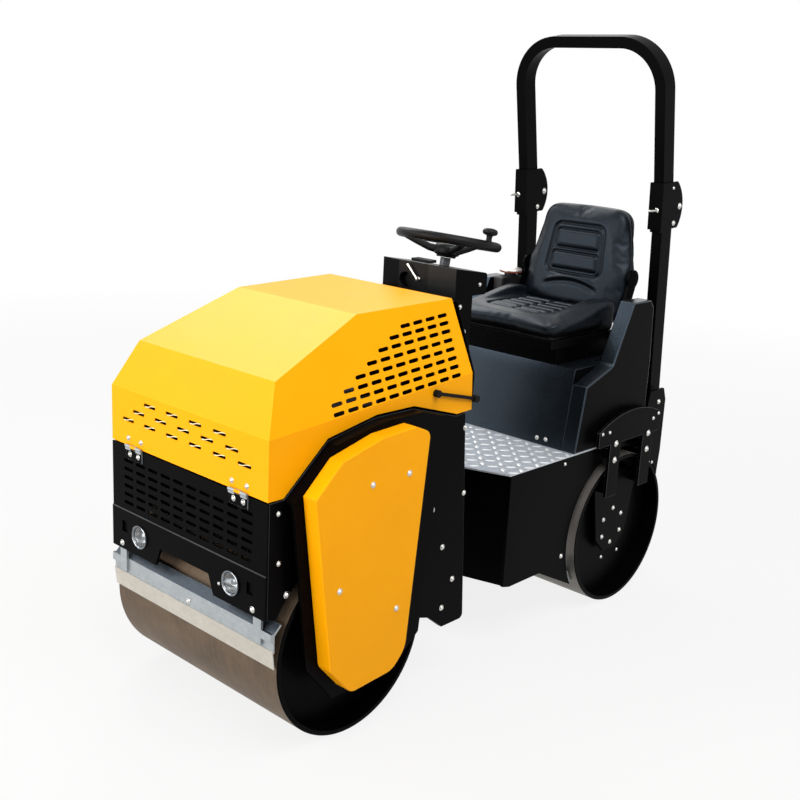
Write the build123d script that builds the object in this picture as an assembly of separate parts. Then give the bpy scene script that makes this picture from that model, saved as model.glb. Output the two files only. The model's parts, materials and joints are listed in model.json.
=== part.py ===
from build123d import *
import os
from math import atan, cos, degrees, hypot, radians, sin, sqrt, tan

# Ride-on tandem road roller with articulated steering, in millimetres.
# -Y is forward, +X is the machine's left-hand side, +Z is up.
# The origin is on the ground, in the middle of the length and the width.
# Distances along the machine are counted from the front drum's axle.

# overall sizes
wheelbase = 1375.0  # front drum axle to rear drum axle
rear_reach = 345.0  # rear drum axle to the end of the towing eye
overall_height = 2026.0  # ground to the top of the folding hoop
drum_radius = 280.0
drum_width = 743.0

# fits and stock
fit_gap = 0.3  # between parts that seat on each other
bearing_gap = 0.05  # radial, between a pin or stub and its bore
moving_gap = 6.0  # between parts that move past each other
plate = 12.0
sheet = 3.0
arch_clear = 24.0  # drum surface to the frame round it

# drums
drum_shell = 14.0
disc_thickness = 14.0
disc_depth = 58.0  # drum end face to the disc's outer face
stub_radius = 52.0
hub_flange_radius = 88.0
hub_flange = 10.0

# front frame and its panel
side_step = 19.5  # drum end face in to the side plates' outer face
nose_y = 307.0  # axle to the grille sheet's front face
panel_sheet = 5.0
panel_low = 430.0
panel_fold = 557.0  # top of the lamp sheet
hood_low = 760.0  # lower edge of the hood at the front
hood_seam = 5.0  # hood's edge to the frame under it
lamp_z = 493.0
lamp_radius = 31.0
lamp_bezel = 5.0
lamp_proud = 9.0
lamp_depth = 40.0
lamp_in = 141.0  # side of the panel to the lamp's middle
notch_in = (217.0, 240.0)  # side of the panel to the notch's lower and upper corners
notch_top = 487.0

# hood
hood_bend = 924.0  # bend between the upright and the leaning sides, at the front
hood_bend_rise = 0.083
hood_lean = 0.41  # inward lean of the upper sides
bevel = (246.0, 1058.0)  # (ahead of the axle, height) of the nose's upper bend
brow = (81.0, 1192.0)  # (behind the axle, height) of the roof's front bend
roof_back = (468.0, 1202.0)
hood_back_y = 489.0
hood_back_low = 875.0

# hood hinges
hinge_in = 115.0  # side of the panel to the hinge's middle
hinge_half = 38.0
knuckle_radius = 4.5
knuckle_middle = 12.7  # half-width of the hood's own knuckle
knuckle_ahead = 5.5  # nose to the middle of the hinge pin

# articulation
pivot_y = 610.0
pivot_pin = 24.0
neck_half = 62.0
neck_low = 330.0
neck_high = 480.0
neck_plate = 20.0
boss_radius = 52.0
boss_gap = 0.5

# operator's platform
floor_top = 618.0
floor_sheet = 6.0
box_front = wheelbase - 313.0
box_back = wheelbase + 125.0
box_in = 56.0  # side plates in to the seat box
fender_out = 4.0  # fenders past the side plates
box_rise = 282.0  # floor to the top of the seat box
fender_rise = 500.0  # floor to the top of the fenders

# seat
seat_in = 60.0  # seat box's side in to the cushion's side
seat_front = box_front - 22.0
seat_back = wheelbase + 55.0
pan_rise = 347.0  # floor to the underside of the seat pan
pan_thick = 27.0
cushion_thick = 66.0
bolster_thick = 111.0
back_front = wheelbase + 74.0  # front face of the backrest at its foot
back_rise = 390.0  # floor to the backrest's foot
back_thick = 90.0
back_lean = 10.0

# console and steering wheel
column_half = 160.0
column_back = 694.0
column_low = 870.0
bulkhead_y = 494.0
bulkhead_thick = 6.0
bulkhead_low = 560.0
console_low = 1172.0
console_high = 1268.0
console_nose = 584.0
console_back = 765.0
console_round = 12.0  # rear corners of the console's sides
console_fall = 0.15  # fall of the console's top towards the driver
wheel_y = 748.0
wheel_z = 1330.0
wheel_radius = 176.0
rim_radius = 16.0
wheel_tilt = 10.0
hub_drop = 36.0
hub_half = 23.0
knob_turn = 2.0  # knob's place round the rim, in degrees
shaft_radius = 17.0
shaft_length = 90.0

# folding hoop and its posts
hoop_in = 30.0  # side plates in to the hoop's outer side
tube_in_plane = 41.0
tube_fore_aft = 68.0
hoop_bend = 182.0  # outer bend radius of the hoop
post_lean = 3.9  # degrees forward of upright
hoop_lean = 10.1
fold_y = wheelbase + 255.0  # hinge bolt
fold_z = 1443.0
fold_behind = 62.0  # tube's middle line to the hinge bolt
fold_bolt = 10.0
cheek = 7.0
cheek_span = (-77.0, 90.0)  # cheeks' ends below and above the hinge bolt
side_play = 0.5  # each side of the hoop's foot between the cheeks
front_clear = 14.0  # hoop's foot to the channel's web
foot_rise = 14.0  # hinge bolt up to the hoop's foot
foot_clear = 6.0
lobe_radius = 116.0
lobe_back = 25.0  # cheeks' round edge behind the hinge bolt

# towing eye
tail_beam_back = wheelbase + 289.0
tail_low = 430.0  # lower edge of the wall behind the rear drum
tow_eye_z = 640.0
tow_eye_radius = 32.0
tow_eye_half = 10.0
tow_pad_half = 60.0
tow_bore = 15.0

half_drum = drum_width / 2
body_half = half_drum - side_step
inner_half = body_half - plate
beam_half = inner_half - fit_gap
arm_inner = half_drum + moving_gap
box_half = body_half - box_in
seat_half = box_half - seat_in
fender_outer = body_half + fender_out
hoop_half = body_half - hoop_in
hoop_mid = hoop_half - tube_in_plane / 2
lamp_x = body_half - lamp_in
hinge_x = (hinge_in - body_half, body_half - hinge_in)
front_reach = nose_y + knuckle_ahead + knuckle_radius
length = front_reach + wheelbase + rear_reach
front_axle = -length / 2 + front_reach
frame_top = floor_top - floor_sheet - fit_gap

os.makedirs("parts", exist_ok=True)


def save(name, shape):
    export_step(shape, f"parts/{name}.step")


def at(y):
    """Distance behind the front axle to the part's own Y."""
    return front_axle + y


def side(points, x0, x1):
    """Prism from x0 to x1 over an outline of (behind front axle, height)."""
    outline = Polyline(*[(x0, at(y), z) for y, z in points], close=True)
    return extrude(make_face(outline), amount=x1 - x0, dir=(1, 0, 0))


def block(x, y, z):
    """Box between three (low, high) pairs."""
    middle = ((x[0] + x[1]) / 2, at((y[0] + y[1]) / 2), (z[0] + z[1]) / 2)
    return Pos(*middle) * Box(x[1] - x[0], y[1] - y[0], z[1] - z[0])


def level(points, z0, z1):
    """Prism from z0 to z1 over an outline of (x, behind front axle)."""
    outline = Polyline(*[(x, at(y), z0) for x, y in points], close=True)
    return extrude(make_face(outline), amount=z1 - z0, dir=(0, 0, 1))


def rod_x(radius, x0, x1, y, z):
    return Pos((x0 + x1) / 2, at(y), z) * Rot(0, 90, 0) * Cylinder(radius, abs(x1 - x0))


def rod_y(radius, x, y0, y1, z):
    return Pos(x, at((y0 + y1) / 2), z) * Rot(90, 0, 0) * Cylinder(radius, abs(y1 - y0))


def rod_z(radius, x, y, z0, z1):
    return Pos(x, at(y), (z0 + z1) / 2) * Cylinder(radius, z1 - z0)


def save_pair(name, shape):
    """Saves the left-hand piece and its mirror image."""
    save(f"{name}_left", shape)
    save(f"{name}_right", mirror(shape, about=Plane.YZ))


def from_rear(points):
    """Outline counted from the rear axle, moved to count from the front one."""
    return [(y + wheelbase, z) for y, z in points]


# ---- drums -------------------------------------------------------------

disc_outer = half_drum - disc_depth
hub_outer = disc_outer + hub_flange
disc_inner = disc_outer - disc_thickness


def drum(axle):
    shell = rod_x(drum_radius, -half_drum, half_drum, axle, drum_radius)
    return shell - rod_x(drum_radius - drum_shell, -half_drum - 1, half_drum + 1, axle, drum_radius)


def drum_ends(axle):
    disc = rod_x(drum_radius - drum_shell - fit_gap, disc_inner, disc_outer, axle, drum_radius)
    flange = rod_x(hub_flange_radius, disc_outer, hub_outer, axle, drum_radius)
    end = disc + flange - rod_x(stub_radius, disc_inner - 1, hub_outer + 1, axle, drum_radius)
    return Compound([end, mirror(end, about=Plane.YZ)])


def drum_stub(axle, x_end):
    """Axle stub that turns in the drum's end, out to x_end."""
    return rod_x(stub_radius - bearing_gap, disc_inner, x_end, axle, drum_radius)


def drum_space(axle):
    return rod_x(drum_radius + arch_clear, -body_half - 50, body_half + 50, axle, drum_radius)


for name, axle in (("front", 0.0), ("rear", wheelbase)):
    save(f"{name}_drum", drum(axle))
    save(f"{name}_drum_ends", drum_ends(axle))

# ---- front frame -------------------------------------------------------

# upper edge of the side plates and arms, under the hood's arched edge
arch_edge = [(-252, hood_low - 4), (-104, 886), (77, 920), (229, 920)]
panel_back = -nose_y + panel_sheet

front_plate_outline = [
    (panel_back + fit_gap, panel_low),
    (panel_back + fit_gap, hood_low - hood_seam),
    *arch_edge,
    (418, 866),
    (462, 869),
    (514, 183),
    (412, 182),
    (345, 234),
]
foot_round = 16.0  # lower corners of the side plates


def front_side_plate():
    plate_body = side(front_plate_outline, inner_half, body_half)
    low_corners = plate_body.edges().filter_by(Axis.X).sort_by(Axis.Z)[:2]
    return fillet(low_corners, foot_round) - drum_space(0)


save_pair("front_side_plate", front_side_plate())

deck_z = (600.0, 612.0)
back_wall = (440.0, 452.0)


def front_cross_frame():
    """Deck over the drum between a front and a back wall."""
    deck = block((-beam_half, beam_half), (-285, back_wall[0]), deck_z)
    back = block((-beam_half, beam_half), back_wall, (260, deck_z[1]))
    front = block((-beam_half, beam_half), (-297, -285), (deck_z[0], 740))
    return deck + back + front - drum_space(0)


save("front_cross_frame", front_cross_frame())


def front_neck():
    """Two bored ears on a block behind the front frame."""
    neck = block((-neck_half, neck_half), (back_wall[1], 500), (neck_low, neck_high))
    for low in (neck_low, neck_high - neck_plate):
        neck += block((-neck_half, neck_half), (500, pivot_y), (low, low + neck_plate))
        neck += rod_z(boss_radius, 0, pivot_y, low, low + neck_plate)
    return neck - rod_z(pivot_pin + bearing_gap, 0, pivot_y, neck_low - 1, neck_high + 1)


save("front_neck", front_neck())


def front_panel():
    """Grille sheet with the thinner lamp sheet laid on its lower part."""
    face = block((-body_half, body_half), (-nose_y, panel_back), (panel_low, hood_low - hood_seam))
    face += block((-body_half, body_half), (-nose_y - sheet, -nose_y), (panel_low, panel_fold))
    low_half, high_half = (body_half - distance for distance in notch_in)
    notch = [
        (-low_half, panel_low - 1),
        (low_half, panel_low - 1),
        (high_half, notch_top),
        (-high_half, notch_top),
    ]
    outline = Polyline(*[(x, at(-nose_y - 9), z) for x, z in notch], close=True)
    face -= extrude(make_face(outline), amount=30, dir=(0, 1, 0))
    for x in (-lamp_x, lamp_x):
        face -= rod_y(lamp_radius, x, -nose_y - 9, panel_back + 1, lamp_z)
    return face


save("front_panel", front_panel())


def headlight(x):
    bezel_back = -nose_y - sheet - fit_gap
    barrel = rod_y(lamp_radius - fit_gap, x, bezel_back, -nose_y + lamp_depth, lamp_z)
    return barrel + rod_y(lamp_radius + lamp_bezel, x, -nose_y - lamp_proud, bezel_back, lamp_z)


save("headlights", Compound([headlight(x) for x in (-lamp_x, lamp_x)]))

hinge_pin_y = -nose_y - knuckle_ahead


def hood_hinge(x):
    """Fixed leaf with the two outer knuckles."""
    low = hood_low - 40
    leaf = block((x - hinge_half, x + hinge_half), (-nose_y - 3.5, -nose_y - fit_gap), (low, low + 31))
    knuckles = (
        (x - hinge_half, x - knuckle_middle - fit_gap),
        (x + knuckle_middle + fit_gap, x + hinge_half),
    )
    for span in knuckles:
        leaf += block(span, (hinge_pin_y - 2, -nose_y - 1), (low + 29, hood_low - 2))
        leaf += rod_x(knuckle_radius, *span, hinge_pin_y, hood_low)
    return leaf


save("hood_hinges", Compound([hood_hinge(x) for x in hinge_x]))

# front scraper: an angle bar across the drum, its blade and two hangers
scraper_half = half_drum - 3
scraper_gap = 6.0  # drum surface to the blade
scraper_front = -293.0
scraper_bar = 5.0
scraper_lean = 24.0  # rise and run of the bar's upper leg
scraper_z = (338.0, 392.0)
blade_low = 290.0
blade_thick = 3.0
blade_lap = 8.0
hanger_x = (body_half - 57, body_half - 25)


def front_scraper():
    low, high = scraper_z
    across = (-scraper_half, scraper_half)
    bar = block(across, (scraper_front, scraper_front + scraper_bar), scraper_z)
    leg = [
        (scraper_front, high - 7),
        (scraper_front, high),
        (scraper_front + scraper_lean, high + scraper_lean),
        (scraper_front + scraper_lean + 4, high + scraper_lean - 4),
        (scraper_front + scraper_bar, high - 4),
    ]
    bar += side(leg, *across)
    blade_y = -drum_radius - scraper_gap
    blade = [
        (scraper_front, low + blade_lap),
        (scraper_front - blade_thick, low + blade_lap),
        (blade_y - blade_thick, blade_low),
        (blade_y, blade_low),
    ]
    bar += side(blade, -scraper_half, scraper_half)
    behind_panel = (panel_back + fit_gap, scraper_front)
    hanger = block(hanger_x, behind_panel, (high - 40, panel_low + 38))
    hanger += block((hanger_x[1], scraper_half), behind_panel, (high - 20, high + 4))
    return bar + hanger + mirror(hanger, about=Plane.YZ)


save("front_scraper", front_scraper())

# ---- drum support arms and their covers --------------------------------

arm_thick = 10.0
cover_inner = arm_inner + arm_thick + fit_gap
cover_thick = 52.2
# corners of the side cover: behind front axle, height, corner radius
cover_corners = [
    (-222, 770, 5),
    (-131, 856, 5),
    (19, 895, 5),
    (147, 902, 5),
    (209, 876, 26),
    (150, 231, 80),
    (98, 180, 60),
    (-66, 169, 40),
    (-149, 262, 30),
]
arm_top = [(y, z - 2) for y, z in arch_edge] + [(330, 889)]
arm_foot = [(262, 231), (150, 140), (-90, 140), (-190, 262)]
ledge = 8.0


def support_arm():
    """Arm outside the drum, its ledge to the side plate and the drum's stub."""
    arm = side(arm_top + arm_foot, arm_inner, arm_inner + arm_thick)
    under = [(y, z - ledge) for y, z in reversed(arm_top)]
    bridge = side(arm_top + under, body_half + fit_gap, arm_inner)
    return arm + bridge + drum_stub(0, arm_inner)


save_pair("support_arm", support_arm())


def side_cover():
    corners = [(cover_inner, at(y), z) for y, z, r in cover_corners]
    outline = FilletPolyline(*corners, radius=[r for y, z, r in cover_corners], close=True)
    return extrude(make_face(outline), amount=cover_thick, dir=(1, 0, 0))


save_pair("side_cover", side_cover())

# ---- engine and hood ---------------------------------------------------

engine_half = body_half - 162
engine_y = (-170.0, 330.0)
engine_top = 1010.0
save("engine_block", block((-engine_half, engine_half), engine_y, (deck_z[1] + fit_gap, engine_top)))


def hood_solid(inset, reach):
    """Solid under the hood's skin, drawn in by inset, reaching past its open edges."""
    roof_rise = (roof_back[1] - brow[1]) / (roof_back[0] - brow[0])
    profile = [
        (-nose_y + inset, hood_low - reach),
        (-nose_y + inset, hood_bend - inset / 2),
        (-bevel[0] + inset, bevel[1] - inset / 2),
        (brow[0], brow[1] - inset),
    ]
    if reach:
        profile.append((roof_back[0] + reach, roof_back[1] + roof_rise * reach - inset))
        profile.append((roof_back[0] + reach, hood_low - reach))
    else:
        profile += [roof_back, (hood_back_y, hood_back_low), (hood_back_y, hood_low)]
    half = body_half - inset
    body = side(profile, -half, half)
    along = Vector(0, 1, hood_bend_rise)
    for hand in (1, -1):
        corner = Vector(hand * half, at(-nose_y), hood_bend)
        lean = Vector(-hand * hood_lean, 0, 1)
        outward = along.cross(lean).normalized() * hand
        body = split(body, Plane(origin=corner, x_dir=along, z_dir=outward), keep=Keep.BOTTOM)
    return body


# space under the hood's arched lower edge
hood_arch = [
    (-nose_y + 4, hood_low - 60),
    (-nose_y + 4, hood_low),
    (-255, hood_low),
    (-104, 894),
    (77, 928),
    (229, 928),
    (422, 872),
    (hood_back_y, hood_back_low),
    (hood_back_y + 60, hood_back_low + 3),
    (hood_back_y + 60, hood_low - 60),
]


def hood():
    """Folded skin with the middle knuckle of each hinge."""
    skin = hood_solid(0, 0) - hood_solid(sheet, 60)
    skin -= side(hood_arch, -body_half - 10, body_half + 10)
    for x in hinge_x:
        span = (x - knuckle_middle, x + knuckle_middle)
        skin += block(span, (hinge_pin_y, -nose_y + 1), (hood_low, hood_low + knuckle_radius))
        skin += rod_x(knuckle_radius, *span, hinge_pin_y, hood_low)
    return skin


save("hood", hood())

# rubber hold-down from each side of the hood to its back edge
latch_front = (318.0, 952.0)
latch_back = (495.0, 909.0)
latch_rod = 5.0
latch_knob = 11.0
latch_out = body_half + fit_gap


def hold_down():
    low, high = latch_back[1], latch_front[1]
    rod = [
        (latch_front[0], high - latch_rod),
        (latch_back[0], low - latch_rod),
        (latch_back[0], low + latch_rod),
        (latch_front[0], high + latch_rod),
    ]
    latch = side(rod, latch_out, latch_out + 2 * latch_rod)
    for y, z in (latch_front, latch_back):
        latch += rod_x(latch_knob, latch_out, latch_out + 16, y, z)
    return latch


save("hood_latches", Compound([hold_down(), mirror(hold_down(), about=Plane.YZ)]))

# ---- console, column and steering wheel --------------------------------

wall = 4.0
# half-width and height of the bulkhead's corners, just inside the hood's back edge
bulkhead_corners = [
    (body_half - 52, bulkhead_low),
    (body_half - 52, 866),
    (body_half - 6, 872),
    (body_half - 6, 985),
    (body_half - 90, 1190),
]


def console_pillar():
    """Bulkhead behind the hood, with a hollow column on it and a foot on the frame."""
    corners = bulkhead_corners + [(-x, z) for x, z in reversed(bulkhead_corners)]
    outline = Polyline(*[(x, at(bulkhead_y), z) for x, z in corners], close=True)
    front = bulkhead_y + bulkhead_thick
    shell = extrude(make_face(outline), amount=bulkhead_thick, dir=(0, 1, 0))
    shell += block((-column_half, column_half), (front, column_back), (column_low, console_low))
    hollow = (column_low - 1, console_low - wall)
    shell -= block((-column_half + wall, column_half - wall), (front, column_back - wall), hollow)
    foot = (bulkhead_low, bulkhead_low + plate)
    across = (-bulkhead_corners[0][0], bulkhead_corners[0][0])
    return shell + block(across, (back_wall[1] + fit_gap, bulkhead_y), foot)


save("console_pillar", console_pillar())

# half-width and place of the console's corners, front to back
console_corners = [(63, console_nose), (158, 609), (158, console_back)]
wheel_place = Pos(0, at(wheel_y), wheel_z) * Rot(-wheel_tilt, 0, 0)


def console():
    plan = console_corners + [(-x, y) for x, y in reversed(console_corners)]
    body = level(plan, console_low + fit_gap, console_high)
    drop = console_fall * (console_back - console_nose)
    above = [
        (console_nose, console_high),
        (console_back, console_high - drop),
        (console_back + 9, console_high - drop),
        (console_back + 9, console_high + 9),
        (console_nose, console_high + 9),
    ]
    body -= side(above, -column_half, column_half)
    back_edges = body.edges().filter_by(Axis.X).sort_by(Axis.Y)[-2:]
    body = fillet(back_edges, console_round)
    return body - wheel_place * Pos(0, 0, -150) * Cylinder(shaft_radius + fit_gap, 240)


save("console", console())


def steering_wheel():
    """Rim, dished spokes, hub and spinner knob."""
    ring = wheel_radius - rim_radius
    wheel = Torus(ring, rim_radius) + Pos(0, 0, -hub_drop) * Cylinder(42, 2 * hub_half)
    run = ring - 20
    spoke = Box(hypot(run, hub_drop) + 14, 24, 9)
    spoke = Pos((20 + ring) / 2, 0, -hub_drop / 2) * Rot(0, -degrees(atan(hub_drop / run)), 0) * spoke
    for turn in (90, 210, 330):
        wheel += Rot(0, 0, turn) * spoke
    knob = Pos(0, 0, 20) * Cylinder(12, 26) + Pos(0, 0, 44) * Cylinder(25, 24)
    return wheel_place * (wheel + Rot(0, 0, knob_turn) * Pos(ring, 0, 0) * knob)


save("steering_wheel", steering_wheel())
shaft_top = -hub_drop - hub_half - fit_gap
shaft = Cylinder(shaft_radius, shaft_length)
save("steering_column", wheel_place * Pos(0, 0, shaft_top - shaft_length / 2) * shaft)

# ---- rear frame --------------------------------------------------------

floor_corner = pivot_y + 102.0  # where the floor's side edge turns inwards
nose_wall_half = body_half - 202
nose_wall_y = pivot_y + 58.0
nose_wall_low = 226.0
nose_wall_plate = 12.0

rear_plate_outline = [
    (floor_corner + 4, frame_top),
    (floor_corner + 4, nose_wall_low),
    (floor_corner + 39, 217),
] + from_rear(
    [
        (-457, 218),
        (-263, 122),
        (-175, 160),
        (-175, 280),
        (264, 280),
        (268, 442),
        (276, 520),
        (275, 722),
        (256, 768),
        (160, 768),
        (128, frame_top),
    ]
)
save_pair("rear_side_plate", side(rear_plate_outline, inner_half, body_half) - drum_space(wheelbase))

rear_deck = (588.0, 600.0)
tow_eye_y = wheelbase + rear_reach - tow_eye_radius


def rear_cross_frame():
    """Nose walls under the floor's front edge, deck over the drum, beam between the posts."""
    corner = floor_corner + 8
    frame = level(
        [
            (beam_half, corner),
            (nose_wall_half, nose_wall_y),
            (-nose_wall_half, nose_wall_y),
            (-beam_half, corner),
            (-beam_half, corner + nose_wall_plate + 2),
            (-nose_wall_half, nose_wall_y + nose_wall_plate),
            (nose_wall_half, nose_wall_y + nose_wall_plate),
            (beam_half, corner + nose_wall_plate + 2),
        ],
        nose_wall_low,
        rear_deck[1],
    )
    across = (-beam_half, beam_half)
    frame += block(across, (corner + nose_wall_plate, tail_beam_back), rear_deck)
    tail_half = hoop_mid - tube_in_plane / 2 - moving_gap
    tail = (tail_beam_back - plate, tail_beam_back)
    frame += block((-tail_half, tail_half), tail, (tail_low, 700))
    return frame


save("rear_cross_frame", rear_cross_frame())


def towing_eye():
    """Bored lug on a plate behind the tail beam."""
    eye = (tow_eye_z - tow_eye_half, tow_eye_z + tow_eye_half)
    foot = (tail_beam_back + fit_gap, tail_beam_back + fit_gap + 8)
    pad = (tow_eye_z - 34, tow_eye_z + 34)
    lug = block((-tow_pad_half, tow_pad_half), foot, pad)
    lug += block((-tow_eye_radius, tow_eye_radius), (foot[0], tow_eye_y), eye)
    lug += rod_z(tow_eye_radius, 0, tow_eye_y, *eye)
    lug -= block((-100, 100), (foot[0] - 100, foot[0]), (eye[0] - 1, eye[1] + 1))
    return lug - rod_z(tow_bore, 0, tow_eye_y, eye[0] - 1, eye[1] + 1)


save("towing_eye", towing_eye())


def rear_neck():
    """Bar between the front neck's ears, with the pivot pin through both."""
    between = (neck_low + neck_plate + boss_gap, neck_high - neck_plate - boss_gap)
    neck = block((-neck_half, neck_half), (pivot_y, nose_wall_y), between)
    neck += rod_z(boss_radius, 0, pivot_y, *between)
    return neck + rod_z(pivot_pin, 0, pivot_y, neck_low - 12, neck_high + 12)


save("rear_neck", rear_neck())

floor_corners = [(nose_wall_half, pivot_y + 30), (body_half, floor_corner), (body_half, box_back)]
floor_plan = floor_corners + [(-x, y) for x, y in reversed(floor_corners)]
save("floor_plate", level(floor_plan, floor_top - floor_sheet, floor_top))

box_top = floor_top + box_rise
box_foot = floor_top + fit_gap
knee = (box_front + 38, floor_top + 232)  # bend in the seat box's front and the fenders


def seat_box():
    outer = [
        (box_front, box_foot),
        knee,
        (knee[0] + 12, box_top),
        (box_back, box_top),
        (box_back, box_foot),
    ]
    inner = [
        (box_front + wall, box_foot - wall),
        (knee[0] + wall, knee[1]),
        (knee[0] + 12 + wall, box_top - wall),
        (box_back - wall, box_top - wall),
        (box_back - wall, box_foot - wall),
    ]
    return side(outer, -box_half, box_half) - side(inner, -box_half + wall, box_half - wall)


save("seat_box", seat_box())

fender_top = floor_top + fender_rise
fender_outline = [
    (box_front, box_foot),
    knee,
    (wheelbase - 132, box_top),
    (wheelbase - 120, box_top + 9),
    (wheelbase - 22, fender_top),
    (wheelbase + 90, fender_top),
    (wheelbase + 111, fender_top - 29),
    (box_back, box_top),
    (box_back, box_foot),
]
save_pair("fender", side(fender_outline, box_half + fit_gap, fender_outer))

# fluid tank between the seat and the right-hand fender
tank_x = (-box_half + 1, -box_half + 48)
tank_y = (wheelbase - 5, wheelbase + 119)
tank_top = fender_top + 4
cap_x = -box_half + 20
cap_y = wheelbase + 80.0
cap_radius = 44.0
cap_neck = 32.0
save("fluid_tank", block(tank_x, tank_y, (box_top + fit_gap, tank_top)))


def filler_cap():
    cap = rod_z(cap_neck - 8, cap_x, cap_y, tank_top + fit_gap, tank_top + 12)
    return cap + rod_z(cap_radius, cap_x, cap_y, tank_top + 12, tank_top + 28)


save("filler_cap", filler_cap())

# ---- seat --------------------------------------------------------------

pan_z = (floor_top + pan_rise, floor_top + pan_rise + pan_thick)
back_low = floor_top + back_rise
recliner = (back_front + 66, back_low + 164)  # middle of the recliner bosses


def seat_base():
    """Riser on the seat box, seat pan, bracket under the backrest and recliner arms."""
    pan_half = seat_half - 4
    riser_half = seat_half - 22
    base = block((-riser_half, riser_half), (box_front + 48, seat_back), (box_top + fit_gap, pan_z[0]))
    base += block((-pan_half, pan_half), (seat_front + 6, seat_back), pan_z)
    slope = tan(radians(back_lean))
    back = back_front + 79
    bracket = [
        (seat_back, pan_z[0]),
        (back, pan_z[0]),
        (back, back_low - (back - back_front) * slope - fit_gap),
        (back_front + 2, back_low - 2 * slope - fit_gap),
        (back_front + 2, pan_z[1]),
        (seat_back, pan_z[1]),
    ]
    base += side(bracket, -60, 60)
    arm = [
        (seat_back - 40, pan_z[0]),
        (seat_back + 45, pan_z[0]),
        (recliner[0] + 30, recliner[1] - 8),
        (recliner[0] - 18, recliner[1]),
        (seat_back + 4, pan_z[1] + 8),
        (seat_back + 4, pan_z[1]),
        (seat_back - 40, pan_z[1]),
    ]
    arm = side(arm, pan_half, pan_half + 8) + rod_x(34, pan_half, pan_half + 10, *recliner)
    return base + arm + mirror(arm, about=Plane.YZ)


save("seat_base", seat_base())


def seat_cushion():
    """Pad with a side bolster each side that rises towards the backrest."""
    low = pan_z[1] + fit_gap
    back = seat_back - 4
    outline = [
        (seat_front, low),
        (seat_front, low + 44),
        (seat_front + 30, low + 56),
        (back - 46, low + bolster_thick),
        (back, low + bolster_thick - 5),
        (back, low),
    ]
    pad = side(outline, -seat_half, seat_half)
    corners = pad.edges().filter_by(Axis.Z).sort_by(Axis.Y)
    pad = fillet(corners[:2], 45)
    dish_half = seat_half - 76
    dish = (low + cushion_thick, low + bolster_thick + 1)
    return pad - block((-dish_half, dish_half), (seat_front + 100, back + 1), dish)


save("seat_cushion", seat_cushion())

# half-width, height along the leaning backrest and corner radius
backrest_corners = [
    (seat_half - 16, 0, 40),
    (seat_half - 6, 183, 80),
    (seat_half - 60, 421, 60),
]


def seat_backrest():
    corners = backrest_corners + [(-x, z, r) for x, z, r in reversed(backrest_corners)]
    points = [(x, 0, z) for x, z, r in corners]
    outline = FilletPolyline(*points, radius=[r for x, z, r in corners], close=True)
    slab = extrude(make_face(outline), amount=back_thick, dir=(0, 1, 0))
    return Pos(0, at(back_front), back_low) * Rot(-back_lean, 0, 0) * slab


save("seat_backrest", seat_backrest())

# ---- rear drum hangers and hub carriers --------------------------------

hanger_thick = 12.0
guard_radius = 458.0  # guard's edge round the drum axle
guard_ends = (-216.0, 181.0)
guard_low = 628.0
drum_inner = drum_radius - drum_shell
bar_offset = 0.402 * drum_inner  # drum axle to the middle of each bar
bar_half = 33.0
bar_low = drum_radius + 150
spacer_low = 572.0


def drum_hanger():
    """Curved guard with two bars that carry the drum, and the spacers to the frame."""
    across = (arm_inner, arm_inner + hanger_thick)
    ends = (wheelbase + guard_ends[0], wheelbase + guard_ends[1])
    hanger = rod_x(guard_radius, *across, wheelbase, drum_radius)
    hanger = hanger & block((across[0] - 1, across[1] + 1), ends, (guard_low, guard_low + 300))
    for offset in (-bar_offset, bar_offset):
        centre = wheelbase + offset
        bar = (centre - bar_half, centre + bar_half)
        hanger += block(across, bar, (bar_low, guard_low + 5))
        hanger += block((body_half + fit_gap, arm_inner), bar, (spacer_low, frame_top))
    return hanger


save_pair("drum_hanger", drum_hanger())

carrier_inner = hub_outer + moving_gap
carrier_thick = 10.0
buffer_radius = 0.113 * drum_inner
buffer_z = drum_radius + 0.692 * drum_inner
# behind and above the axle, as shares of the drum's inner radius
carrier_corners = [(0.226, 0.808), (0.534, 0.752), (0.361, -0.15), (0.15, -0.353)]


def hub_carrier():
    """Plate in the drum's end on two round buffers, with the stub in the drum's bore."""
    half = [(y * drum_inner, drum_radius + z * drum_inner) for y, z in carrier_corners]
    outline = from_rear([(-y, z) for y, z in reversed(half)] + half)
    carrier = side(outline, carrier_inner, carrier_inner + carrier_thick)
    carrier += drum_stub(wheelbase, carrier_inner)
    reach = (carrier_inner + carrier_thick, arm_inner - fit_gap)
    for offset in (-bar_offset, bar_offset):
        carrier += rod_x(buffer_radius, *reach, wheelbase + offset, buffer_z)
    return carrier


save_pair("hub_carrier", hub_carrier())

# rear scraper, ahead of the drum's underside
rear_blade_z = (120.0, 168.0)
rear_blade_gap = 14.0
rear_blade_rake = 22.0
rear_blade = 5.0


def rear_scraper():
    """Blade with a bracket inside each frame plate."""
    low, high = rear_blade_z
    foot = wheelbase - sqrt(drum_radius**2 - (drum_radius - low) ** 2) - rear_blade_gap
    top = foot - rear_blade_rake
    blade = [(foot, low), (foot + rear_blade, low), (top + rear_blade, high), (top, high)]
    scraper = side(blade, -beam_half, beam_half)
    bracket = [
        (top - 110, high + 52),
        (top - 26, high + 46),
        (top - 4, high + 6),
        (top + 4, high),
        (top + 9, high - 16),
        (top - 20, high - 20),
        (top - 110, high + 30),
    ]
    ear = side(bracket, beam_half - plate, beam_half)
    return scraper + ear + mirror(ear, about=Plane.YZ)


save("rear_scraper", rear_scraper())

# ---- folding hoop and posts --------------------------------------------


def lean_frame(angle):
    """Frame on the hinge bolt whose Z follows a tube that leans forward by angle."""
    return Pos(0, at(fold_y), fold_z) * Rot(angle, 0, 0)


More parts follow.
